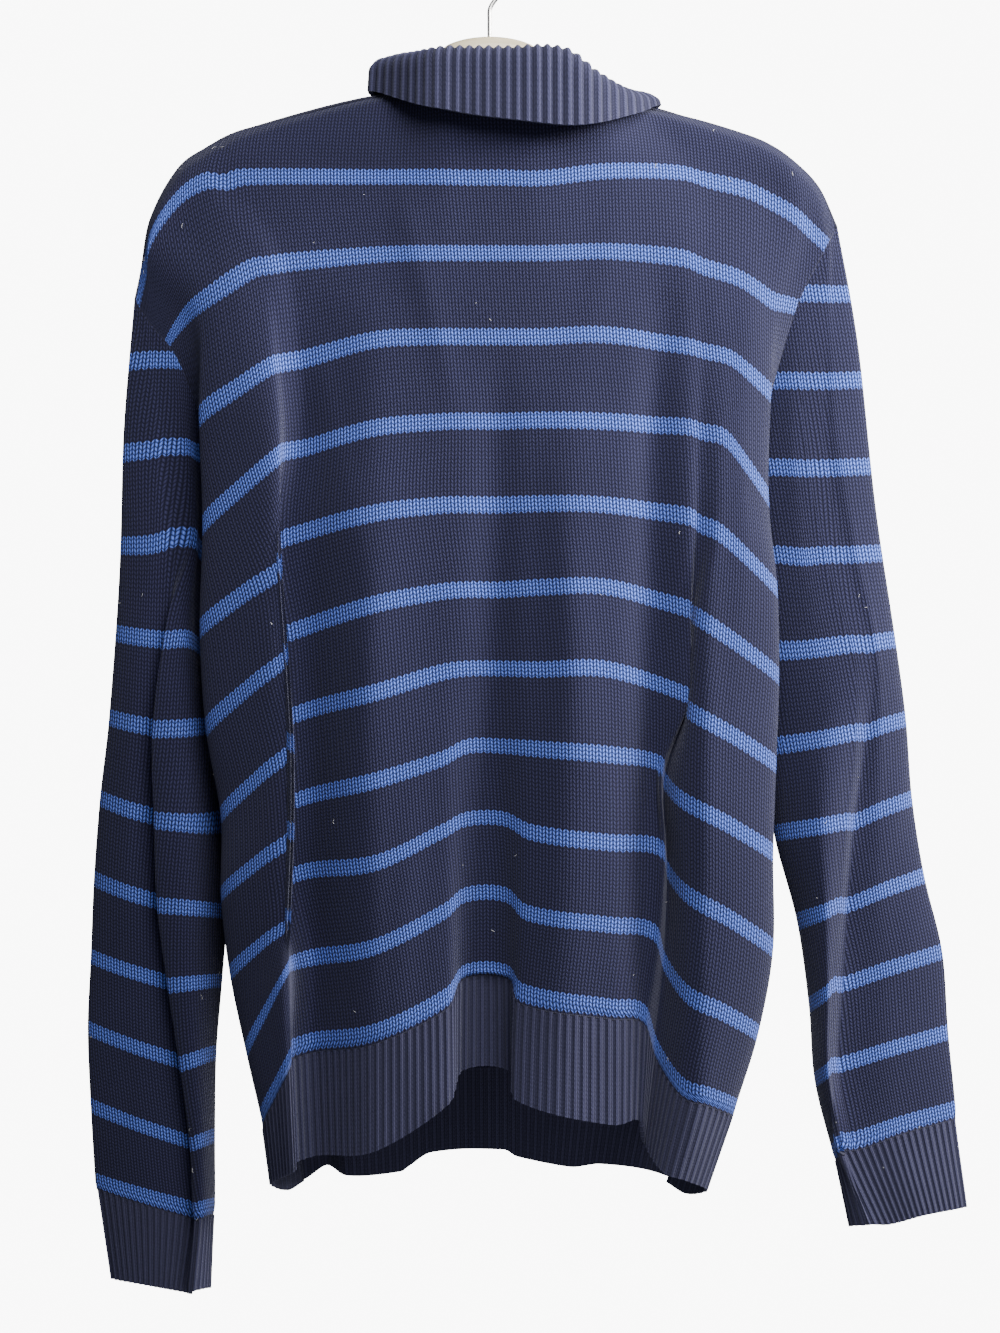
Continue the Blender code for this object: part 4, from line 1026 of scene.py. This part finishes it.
class Socket:
    """An output of a shader node that plain sums can be written with."""

    def __init__(self, tree, output):
        self.tree, self.output = tree, output

    def through(self, kind, settings, inputs, output=0):
        """The output of a new node, made with its settings and then its inputs."""
        node = self.tree.nodes.new(kind)
        for name, value in settings.items():
            setattr(node, name, value)
        for key, value in inputs.items():
            if isinstance(value, Socket):
                self.tree.links.new(value.output, node.inputs[key])
            else:
                node.inputs[key].default_value = value
        return Socket(self.tree, node.outputs[output])

    def maths(self, operation, *values):
        return self.through("ShaderNodeMath", {"operation": operation}, dict(enumerate(values)))

    def __add__(self, other):
        return self.maths("ADD", self, other)

    def __radd__(self, other):
        return self.maths("ADD", other, self)

    def __sub__(self, other):
        return self.maths("SUBTRACT", self, other)

    def __rsub__(self, other):
        return self.maths("SUBTRACT", other, self)

    def __mul__(self, other):
        return self.maths("MULTIPLY", self, other)

    def __rmul__(self, other):
        return self.maths("MULTIPLY", other, self)

    def __abs__(self):
        return self.maths("ABSOLUTE", self)

    def fract(self):
        return self.maths("FRACT", self)

    def floor(self):
        return self.maths("FLOOR", self)

    def sine(self):
        return self.maths("SINE", self)

    def turned(self):
        """The cosine of this many turns."""
        return self.maths("COSINE", self * (2 * math.pi))

    def below(self, other):
        return self.maths("LESS_THAN", self, other)

    def above(self, other):
        return self.maths("GREATER_THAN", self, other)

    def root(self):
        return self.maths("SQRT", self.maths("MAXIMUM", self, 0.0))

    def parts(self):
        node = self.through("ShaderNodeSeparateXYZ", {}, {0: self})
        return [Socket(self.tree, output) for output in node.output.node.outputs]

    def place(self):
        """Where the point lies in its object."""
        return self.through("ShaderNodeTexCoord", {}, {}, output=3)

    def knit(self):
        """How far across the wales and down the courses the point lies."""
        return self.through("ShaderNodeUVMap", {"uv_map": KNIT_UV}, {}).parts()[:2]

    def noise(self, scale, detail=2.0, roughness=0.5):
        """Soft noise, read at this place."""
        inputs = {"Vector": self, "Scale": scale, "Detail": detail, "Roughness": roughness}
        return self.through("ShaderNodeTexNoise", {}, inputs)

    def scaled(self, factors):
        """This place with each of its parts scaled."""
        return self.through("ShaderNodeVectorMath", {"operation": "MULTIPLY"}, {0: self, 1: factors})

    def mix(self, one, other):
        """A colour that goes from one to the other as this goes from 0 to 1."""
        inputs = {0: self, 6: one, 7: other}
        return self.through("ShaderNodeMix", {"data_type": "RGBA"}, inputs, output=2)

    def shade(self, colour):
        """The colour made darker or lighter by this."""
        grey = self.through("ShaderNodeCombineXYZ", {}, {0: self, 1: self, 2: self})
        settings = {"data_type": "RGBA", "blend_type": "MULTIPLY"}
        return grey.through("ShaderNodeMix", settings, {0: 1.0, 6: colour, 7: grey}, output=2)


def finish(name, colour, roughness, metallic=0.0):
    """A plain material, its tree's first socket and its shader, to build on."""
    made = bpy.data.materials.new(name)
    made.use_nodes = True
    made.diffuse_color = (*colour[:3], 1.0)
    shader = made.node_tree.nodes["Principled BSDF"]
    shader.inputs["Base Color"].default_value = (*colour[:3], 1.0)
    shader.inputs["Roughness"].default_value = roughness
    shader.inputs["Metallic"].default_value = metallic
    return made, Socket(made.node_tree, None), shader


def link(source, shader, name):
    """Lead the source into one of the shader's sockets."""
    source.tree.links.new(source.output, shader.inputs[name])


def bumped(height, shader, distance):
    """Raise the surface by the height, whose full range stands for the distance."""
    inputs = {"Height": height, "Distance": distance * MM, "Strength": 1.0}
    link(height.through("ShaderNodeBump", {}, inputs), shader, "Normal")


def soft(shader, sheen):
    """Give the cloth its dull surface and a nap that catches the light."""
    shader.inputs["Specular IOR Level"].default_value = 0.1
    shader.inputs["Sheen Weight"].default_value = sheen
    shader.inputs["Sheen Roughness"].default_value = 0.45
    shader.inputs["Sheen Tint"].default_value = (0.75, 0.78, 1.0, 1.0)


def woollen(place, height, shader, distance, sheen):
    """Raise the stitches and the fibres that stand off them."""
    fuzz = place.noise(FIBRE_SCALE, 4.0, 0.75)
    bumped(height * 0.8 + fuzz * 0.35, shader, distance)
    soft(shader, sheen)


def yarn_colour(place, colour, spread):
    """The colour with the small differences between a yarn's fibres."""
    heather = place.noise(FIBRE_SCALE, 4.0, 0.8)
    broad = place.noise(14.0, 2.0)
    return (heather * spread + broad * 0.3 + (0.85 - spread / 2)).shade(colour)


def stitch_height(across, down):
    """How high a stockinette stitch stands: two legs that slant up from the middle of each wale."""
    side = abs(across.fract() - 0.5)
    leg = (down + side * STITCH_SLANT).fract()
    return (leg * math.pi).sine().root() * (side * (2 * math.pi)).sine(), side


def knit_finish(name, settings):
    """Stockinette with four light courses in every twenty-one."""
    made, start, shader = finish(name, settings.yarn, 0.92)
    across, down = start.knit()
    place = start.place()
    height, side = stitch_height(across, down)
    course = (down + (side - 0.25) * STITCH_SLANT + 0.5 * settings.stripe_rows).floor()
    light = (course.maths("FLOORED_MODULO", course, 1.0 * PITCH_ROWS)).below(
        settings.stripe_rows - 0.5
    ) * down.above(0.6 * PITCH_ROWS)
    dark = yarn_colour(place, (*settings.yarn, 1.0), 0.9)
    bright = yarn_colour(place.scaled((1.0, 1.0, 1.3)), (*settings.stripe, 1.0), 0.7)
    colour = light.mix(dark, bright)
    # Painted shade and light: the gaps between the stitches are painted darker and the tops of the
    # stitches lighter, most strongly in the stripes
    depth = height * height * (light * 1.2 + 1.3) + (0.42 - light * 0.3)
    link(depth.shade(colour), shader, "Base Color")
    woollen(place, height, shader, size("stitch_depth"), settings.sheen)
    return made


def rib_finish(name, settings, crest_light, flank_shade):
    """Ribs of one wale out and one wale in, all in the dark yarn.

    The first number is how much lighter the wale out is painted, as painted light, and the second how
    much lighter both kinds of wale are painted than the painted shade between them.
    """
    made, start, shader = finish(name, settings.yarn, 0.92)
    across, down = start.knit()
    place = start.place()
    height, _ = stitch_height(across * 2.0 + 0.5, down)
    # Painted light and shade: the wales that stand out are painted lighter, and the flanks between
    # the wales and the gaps between the stitches darker
    crests = across.turned() * -crest_light + (across * 2.0).turned() * flank_shade
    # Painted light: the ribs' colour is a lighter, greyer copy of the dark yarn
    colour = yarn_colour(place, (*settings.lit_rib_yarn, 1.0), 0.9)
    link((height * 0.6 + crests + 0.95).shade(colour), shader, "Base Color")
    woollen(place, height, shader, RIB_STITCHES * size("stitch_depth"), settings.sheen)
    return made


def twill_finish(name, colour):
    """The zip's woven tape."""
    made, start, shader = finish(name, colour, 0.8)
    x, _, z = start.place().parts()
    weave = ((x * 5200.0 + z * 3600.0).sine() * 0.5) + 0.5
    link((weave * 0.6 + 0.6).shade((*colour, 1.0)), shader, "Base Color")
    bumped(weave, shader, 0.08)
    soft(shader, 0.1)
    return made


def thread_finish(name, colour):
    """Sewing thread and seam yarn, twisted."""
    made, start, shader = finish(name, colour, 0.85)
    x, y, z = start.place().parts()
    twist = ((x + y + z) * 4200.0).sine() * 0.5 + 0.5
    link((twist * 0.5 + 0.6).shade((*colour, 1.0)), shader, "Base Color")
    bumped(twist, shader, 0.1)
    return made


def metal_finish(name, colour, roughness, brushed):
    """Metal, with fine scratches along its length if it is brushed."""
    made, start, shader = finish(name, colour, roughness, 1.0)
    place = start.place()
    streaks = place.scaled((1.0, 1.0, 0.08)).noise(1800.0 if brushed else 300.0, 3.0)
    link(streaks * 0.18 + (roughness - 0.08), shader, "Roughness")
    return made


def wood_finish(name):
    """Pale varnished wood, its grain running along the bar."""
    made, start, shader = finish(name, (0.43, 0.38, 0.26), 0.45)
    place = start.place()
    grain = place.scaled((0.06, 1.0, 1.0)).noise(420.0, 4.0, 0.6)
    rings = place.scaled((0.12, 1.0, 1.0)).noise(60.0, 2.0)
    colour = grain.mix((0.30, 0.25, 0.155, 1.0), (0.50, 0.45, 0.325, 1.0))
    link((rings * 0.4 + 0.8).shade(colour), shader, "Base Color")
    link(grain * 0.2 + 0.38, shader, "Roughness")
    shader.inputs["Coat Weight"].default_value = 0.25
    bumped(grain, shader, 0.06)
    return made


class SweaterSettings(bpy.types.PropertyGroup):
    """What can be changed about the sweater before it is dressed."""

    cloth: FloatProperty(
        name="Cloth", description="Thickness of the plain knit", unit="LENGTH", precision=4,
        min=0.001, max=0.003, default=0.0022,
    )
    rib_cloth: FloatProperty(
        name="Rib cloth", description="Thickness of the ribbed pieces under their ribs",
        unit="LENGTH", precision=4, min=0.001, max=0.003, default=0.0019,
    )
    rib_rise: FloatProperty(
        name="Rib rise", description="How far the hem's and the cuffs' ribs stand out",
        unit="LENGTH", precision=4, min=0.0, max=0.003, default=0.0011,
    )
    collar_rise: FloatProperty(
        name="Collar rib rise", description="How far the collar's ribs stand out",
        unit="LENGTH", precision=4, min=0.0, max=0.003, default=0.002,
    )
    stitch_depth: FloatProperty(
        name="Stitch depth", description="How deep the relief of the stitches is",
        unit="LENGTH", precision=4, min=0.0, max=0.002, default=0.0005,
    )
    yarn: FloatVectorProperty(
        name="Yarn", description="Colour of the dark yarn", subtype="COLOR", size=3,
        min=0.0, max=1.0, default=(0.0150, 0.0157, 0.0410),
    )
    # Painted light: the ribs' yarn is the dark yarn made lighter and greyer, for the light that the
    # hem, cuffs and collar catch
    lit_rib_yarn: FloatVectorProperty(
        name="Rib yarn", description="Colour of the ribs' yarn", subtype="COLOR", size=3,
        min=0.0, max=1.0, default=(0.0200, 0.0205, 0.0430),
    )
    stripe: FloatVectorProperty(
        name="Stripe", description="Colour of the light courses", subtype="COLOR", size=3,
        min=0.0, max=1.0, default=(0.044, 0.077, 0.290),
    )
    stripe_rows: IntProperty(
        name="Stripe rows", description="Light courses in each stripe", min=1, max=10, default=4,
    )
    sheen: FloatProperty(
        name="Nap", description="How much the fibres standing off the yarn catch the light",
        min=0.0, max=1.0, default=0.12,
    )
    lint: IntProperty(
        name="Lint", description="Number of pale hairs caught in the knit", min=0, max=400,
        default=90,
    )


def size(name):
    """One of the sweater's sizes, in millimetres."""
    return getattr(bpy.context.scene.sweater, name) / MM


def shared():
    """The finishes and the two fine panels, made once and used by every step."""
    if not MADE:
        settings = bpy.context.scene.sweater
        MADE.update(
            knit=knit_finish("navy_stockinette", settings),
            rib=rib_finish("navy_ribbing", settings, 0.22, 0.28),
            thick_rib=rib_finish("navy_collar_ribbing", settings, 0.5, 0.1),
            tape=twill_finish("navy_twill", (0.010, 0.011, 0.026)),
            seam=thread_finish("seam_yarn", (0.015, 0.016, 0.038)),
            thread=thread_finish("sewing_thread", (0.02, 0.022, 0.05)),
            lint=thread_finish("pale_lint", (0.6, 0.6, 0.62)),
            metal=metal_finish("dull_nickel", (0.26, 0.255, 0.245), 0.34, False),
            steel=metal_finish("drawn_steel", (0.56, 0.56, 0.56), 0.3, True),
            wood=wood_finish("varnished_wood"),
            back=fine_panel(-1),
            front=fine_panel(1),
            left=sleeve_grid("left"),
            right=sleeve_grid("right"),
        )
    return MADE


class SWEATER_OT_panels(bpy.types.Operator):
    """Knit the back and the front down to their ribs, with the zip's slot left open"""

    bl_idname = "sweater.panels"
    bl_label = "Panels"

    def execute(self, context):
        for name, side in (("back", -1), ("front", 1)):
            grid, out = (values[: DOWN * RIB_ROW + 1] for values in shared()[name])
            inner = grid[..., :3] - size("cloth") * out
            inner[..., 1] = side * np.maximum(inner[..., 1] * side, SEAM_GAP / 2)
            kept = np.ones((grid.shape[0] - 1, grid.shape[1] - 1), bool)
            if side > 0:
                kept[: round(ZIP_SPAN * DOWN), SLOT[0] * ACROSS : SLOT[1] * ACROSS] = False
            piece = wall(f"{name}_cloth", grid[..., :3], inner, stitched(grid), shared()["knit"],
                         flip=side > 0, kept=kept)
            declare(piece, grid, f"{name}_panel", kept)
        return {"FINISHED"}


class SWEATER_OT_hem(bpy.types.Operator):
    """Knit the ribs along the hem"""

    bl_idname = "sweater.hem"
    bl_label = "Hem ribs"

    def execute(self, context):
        for name, side in (("back", -1), ("front", 1)):
            grid, out = (values[DOWN * RIB_ROW :] for values in shared()[name])
            outer, inner, knit = ribbed(grid, out, HEM_RIB_PITCH)
            piece = wall(f"{name}_hem_cloth", outer, inner, knit, shared()["rib"],
                         flip=side > 0)
            declare(piece, grid, f"hem_rib_{name}")
        return {"FINISHED"}


class SWEATER_OT_sleeves(bpy.types.Operator):
    """Knit the sleeves and their cuffs"""

    bl_idname = "sweater.sleeves"
    bl_label = "Sleeves"

    def execute(self, context):
        for side in ("left", "right"):
            grid, out, top = shared()[side]
            tube_part = grid[: top + 1]
            inner = tube_part[..., :3] - size("cloth") * out[: top + 1]
            piece = wall(f"{side}_sleeve_cloth", tube_part[..., :3], inner, stitched(tube_part),
                         shared()["knit"], ring=True)
            declare(piece, tube_part, f"sleeve_{side}")
            outer, inner, knit = ribbed(grid[top:], out[top:], CUFF_RIB_PITCH)
            piece = wall(f"{side}_cuff_cloth", outer, inner, knit, shared()["rib"],
                         ring=True)
            declare(piece, grid[top:], f"cuff_{side}")
        return {"FINISHED"}


class SWEATER_OT_collar(bpy.types.Operator):
    """Knit the collar, which stands up and rolls over"""

    bl_idname = "sweater.collar"
    bl_label = "Collar"

    def execute(self, context):
        grid, ribs = collar_grid(neck_line(shared()["back"][0], shared()["front"][0]))
        out = normals(grid[..., :3])
        rib = np.linspace(0, ribs, grid.shape[1])
        rise = size("collar_rise") * np.sin(math.pi * rib) ** 2
        half = size("rib_cloth") / 2
        outer = grid[..., :3] + (half + rise[None, :, None]) * out
        inner = grid[..., :3] - half * out
        knit = np.stack([np.broadcast_to(rib, grid.shape[:2]), grid[..., 4] / ROW], axis=-1)
        piece = wall("collar_cloth", outer, inner, knit, shared()["thick_rib"])
        declare(piece, grid, "collar")
        return {"FINISHED"}


def zip_lines():
    """The slot's two edges with the outward normals there, left then right, down to its end."""
    grid, out = shared()["front"]
    rows = round(ZIP_SPAN * DOWN) + 1
    return [
        (grid[:rows, column * ACROSS, :3], out[:rows, column * ACROSS]) for column in SLOT
    ]


class SWEATER_OT_zip(bpy.types.Operator):
    """Set the zip's teeth on its tapes and sew the tapes in"""

    bl_idname = "sweater.zip"
    bl_label = "Zip"

    def execute(self, context):
        for side in ("left", "right"):
            frame["nodes"][f"zip_tape_{side}"].data.materials[0] = shared()["tape"]
        teeth, stitches = [], []
        for sign, (line, out) in zip((-1, 1), zip_lines()):
            length = along(line)
            start = TOOTH_PITCH * (0.5 if sign > 0 else 1.0)
            for place in np.arange(start, length[-1], TOOTH_PITCH):
                point, facing = (read_at([place], length, values)[0] for values in (line, out))
                drop = -point[2] - SLIDER_DROP
                if -SLIDER_TEETH < drop < 1.0:
                    continue
                facing = unit(facing * (0.0, 1.0, 1.0))
                tip = -sign * TOOTH_BITE if drop > 0 else sign * TOOTH_OPEN
                heel = sign * TOOTH_REACH
                edge = point[0] - sign * ZIP_SLOT / 2
                middle = np.array((edge + (tip + heel) / 2, point[1], point[2]))
                middle[1:] -= TAPE_BEHIND * facing[1:]
                teeth.append((
                    middle,
                    np.array((abs(heel - tip) / 2, 0.0, 0.0)),
                    TOOTH_THICK * facing,
                    TOOTH_HIGH * np.array((0.0, facing[2], -facing[1])),
                ))
            for place in np.arange(4.0, length[-1] - 2.0, TAPE_STITCH_PITCH):
                run = read_at(place + TAPE_STITCH[:, 0], length, line)
                run[:, 0] += sign * TAPE_STITCH_OUT
                stitches.append(run + TAPE_STITCH[:, 1:] * read_at([place], length, out))
        finished = placed("zip_teeth", blocks("zip_teeth", teeth), shared()["metal"])
        finished.data.shade_flat()
        placed("zip_stitches", tube("zip_stitches", stitches, 0.32, 2), shared()["thread"])
        return {"FINISHED"}


class SWEATER_OT_slider(bpy.types.Operator):
    """Cast the zip's slider and hang its pull in the bridge"""

    bl_idname = "sweater.slider"
    bl_label = "Slider and pull"

    def execute(self, context):
        hinge = Vector(frame["joints"][0]["pos_m"])
        face = hinge.y / MM - PULL_PIVOT_OUT
        plate_back = face - SLIDER_PLATE - SLIDER_GAP
        plates = [
            plate("slider", [rounded(*SLIDER_OUTLINE)], front, front - SLIDER_PLATE, 0.35)
            for front in (face, plate_back)
        ]
        post = plate("slider", [rounded(*POST_OUTLINE)], face - 0.5, plate_back - 0.5, 0.1)
        arch = np.array([(0.0, face + out, up) for out, up in BRIDGE])
        knots = along(arch)
        bridge = tube("slider", [spline(knots, arch, between(knots, 6))], BRIDGE_WIRE, 4)
        mesh = joined("zip_slider_cast", [*plates, post, bridge])
        mesh.transform(Matrix.Translation((ZIP_X * MM, 0, -SLIDER_DROP * MM)))
        slider = placed("zip_slider_cast", mesh, shared()["metal"])
        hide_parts("zip_slider")

        outlines = [rounded(*PULL_OUTLINE), rounded(*PULL_WINDOW)]
        mesh = plate("zip_pull_cast", outlines, PULL_HALF_THICK, -PULL_HALF_THICK, 0.22)
        mesh.transform(Matrix.Translation(hinge))
        pull = placed("zip_pull_cast", mesh, shared()["metal"], body="pull")
        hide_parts("zip_pull")
        return {"FINISHED"}


class SWEATER_OT_hanger(bpy.types.Operator):
    """Turn the hanger's bar and bend its hook"""

    bl_idname = "sweater.hanger"
    bl_label = "Hanger"

    def execute(self, context):
        rows = np.array([(-x, drop, half) for x, drop, half in reversed(BAR[1:])] + list(BAR))
        knots = along(rows[:, :2])
        rows = spline(knots, rows, between(knots, 8))
        around = np.linspace(0, 2 * math.pi, BAR_SIDES + 1)[:-1]
        taper = np.minimum(1.0, 0.55 + 0.05 * rows[:, 2])[:, None]
        rings = np.stack([
            np.broadcast_to(rows[:, :1], (len(rows), BAR_SIDES)),
            -BAR_HALF_DEPTH * taper * np.cos(around),
            -BAR_TOP_DROP - rows[:, 1:2] - rows[:, 2:3] * (1 - np.sin(around)),
        ], axis=-1)
        uses = np.arange(rings.size // 3).reshape(-1, BAR_SIDES)
        after = np.roll(uses, -1, axis=1)
        quads = np.stack([uses[:-1], uses[1:], after[1:], after[:-1]], axis=-1).reshape(-1, 4)
        faces = quads.tolist() + [uses[0].tolist(), uses[-1][::-1].tolist()]
        mesh = bpy.data.meshes.new("bar")
        mesh.from_pydata((rings.reshape(-1, 3) * MM).tolist(), [], faces)
        bar = placed("hanger_bar_wood", smoothed(mesh, 50), shared()["wood"])
        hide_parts("hanger_bar")

        radius = HOOK_INNER + HOOK_WIRE
        turns = np.radians(HOOK_FROM + HOOK_STEP * np.arange(HOOK_STEPS))
        arc = np.stack([radius * np.cos(turns), radius * np.sin(turns) - HOOK_INNER], axis=1)
        route = np.insert(np.concatenate([HOOK_SHANK, arc]), 1, 0.0, axis=1)
        knots = along(route)
        line = spline(knots, route, between(knots, 5))
        hook = placed("hanger_hook_wire", tube("hook", [line], HOOK_WIRE, 6), shared()["steel"])
        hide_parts("hanger_hook")
        return {"FINISHED"}


class SWEATER_OT_seams(bpy.types.Operator):
    """Link the pieces with the yarn of their seams"""

    bl_idname = "sweater.seams"
    bl_label = "Seams"

    def execute(self, context):
        back, back_out = shared()["back"]
        front, front_out = shared()["front"]
        both = {"left": 0, "right": -1}
        sunk = back[..., :3] - SEAM_SUNK * back_out
        front_sunk = front[..., :3] - SEAM_SUNK * front_out
        rib = DOWN * RIB_ROW
        lines = [sunk[rib], front_sunk[rib]]
        for side, edge in both.items():
            ring = armhole(sunk, front_sunk, edge, DOWN)
            lines.append(np.concatenate([ring, ring[:1]]))
            lines.append(sunk[UNDERARM_ROW * DOWN :, edge])
            grid, out, top = shared()[side]
            lines.append(grid[top, :, :3] - SEAM_SUNK * out[top])
        shoulders = (slice(0, NECK[-1][0] * ACROSS + 1), slice(NECK[-1][1] * ACROSS, None))
        lines += [sunk[0, part] for part in shoulders]
        neck = neck_line(back, front)[:, :3]
        lines.append(neck - (0.0, 0.0, 0.6))
        placed("seam_yarn", tube("seam_yarn", lines, SEAM_YARN, 3), shared()["seam"])
        return {"FINISHED"}


class SWEATER_OT_lint(bpy.types.Operator):
    """Scatter a few pale hairs over the knit"""

    bl_idname = "sweater.lint"
    bl_label = "Lint"

    def execute(self, context):
        chance = np.random.default_rng(11)
        sheets = [shared()["back"], shared()["front"], shared()["left"][:2], shared()["right"][:2]]
        hairs = []
        for index in range(context.scene.sweater.lint):
            grid, out = sheets[(0, 0, 1, 2, 3)[index % 5]]
            row = chance.integers(4, grid.shape[0] - 6)
            column = chance.integers(6, grid.shape[1] - 6)
            point, facing = grid[row, column, :3], out[row, column]
            heading = unit(np.cross(facing, chance.normal(size=3)))
            bend = np.cross(facing, heading) * chance.uniform(-0.5, 0.5)
            length = chance.uniform(0.6, 3.4)
            steps = np.linspace(-0.5, 0.5, 5)[:, None]
            hairs.append(
                point + 0.25 * facing + length * (steps * heading + (steps**2) * 2 * bend)
            )
        placed("lint_hairs", tube("lint_hairs", hairs, 0.11, 0), shared()["lint"])
        return {"FINISHED"}


class SWEATER_OT_stage(bpy.types.Operator):
    """Set up the backdrop, the lights and the camera"""

    bl_idname = "sweater.stage"
    bl_label = "Stage"

    def execute(self, context):
        bpy.ops.mesh.primitive_plane_add(
            size=PAPER_SIZE, location=PAPER_PLACE, rotation=(math.radians(90), 0.0, 0.0)
        )
        backdrop = context.object
        backdrop.name = "backdrop"
        paper, _, shader = finish("backdrop_paper", (0.9, 0.9, 0.9), 0.9)
        shader.inputs["Emission Color"].default_value = (1.0, 1.0, 1.0, 1.0)
        shader.inputs["Emission Strength"].default_value = PAPER_GLOW
        backdrop.data.materials.append(paper)
        for name, place, size, power, colour in LIGHTS:
            bpy.ops.object.light_add(type="AREA", location=place)
            light = context.object
            light.name = name
            aim = Vector(AIM) - light.location
            light.rotation_euler = aim.to_track_quat("-Z", "Y").to_euler()
            light.data.shape = "DISK"
            light.data.size = size
            light.data.energy = power
            light.data.color = colour
        bpy.ops.object.camera_add(
            location=(VIEW_X * MM, -VIEW_DISTANCE * MM, -VIEW_DROP * MM),
            rotation=(math.radians(90), 0.0, 0.0),
        )
        camera = context.object
        camera.name = "camera"
        camera.data.sensor_fit = "VERTICAL"
        camera.data.sensor_height = SENSOR
        camera.data.lens = SENSOR * VIEW_DISTANCE / VIEW_HEIGHT
        context.scene.camera = camera
        world = bpy.data.worlds.new("pale_room")
        context.scene.world = world
        world.use_nodes = True
        world.node_tree.nodes["Background"].inputs["Color"].default_value = (0.85, 0.88, 0.95, 1)
        world.node_tree.nodes["Background"].inputs["Strength"].default_value = WORLD_LIGHT
        return {"FINISHED"}


STEPS = (
    SWEATER_OT_panels, SWEATER_OT_hem, SWEATER_OT_sleeves, SWEATER_OT_collar, SWEATER_OT_zip,
    SWEATER_OT_slider, SWEATER_OT_hanger, SWEATER_OT_seams, SWEATER_OT_lint, SWEATER_OT_stage,
)


class SWEATER_PT_panel(bpy.types.Panel):
    """The sweater's settings and the steps it is dressed in"""

    bl_label = "Sweater"
    bl_idname = "SWEATER_PT_panel"
    bl_space_type = "VIEW_3D"
    bl_region_type = "UI"
    bl_category = "Sweater"

    def draw(self, context):
        for name in SweaterSettings.__annotations__:
            self.layout.prop(context.scene.sweater, name)
        for step in STEPS:
            self.layout.operator(step.bl_idname)


def register():
    for made in (SweaterSettings, *STEPS, SWEATER_PT_panel):
        bpy.utils.register_class(made)
    bpy.types.Scene.sweater = PointerProperty(type=SweaterSettings)


def unregister():
    del bpy.types.Scene.sweater
    for made in (SWEATER_PT_panel, *reversed(STEPS), SweaterSettings):
        bpy.utils.unregister_class(made)


def main():
    register()
    for step in STEPS:
        group, name = step.bl_idname.split(".")
        getattr(getattr(bpy.ops, group), name)()


if __name__ == "__main__":
    main()
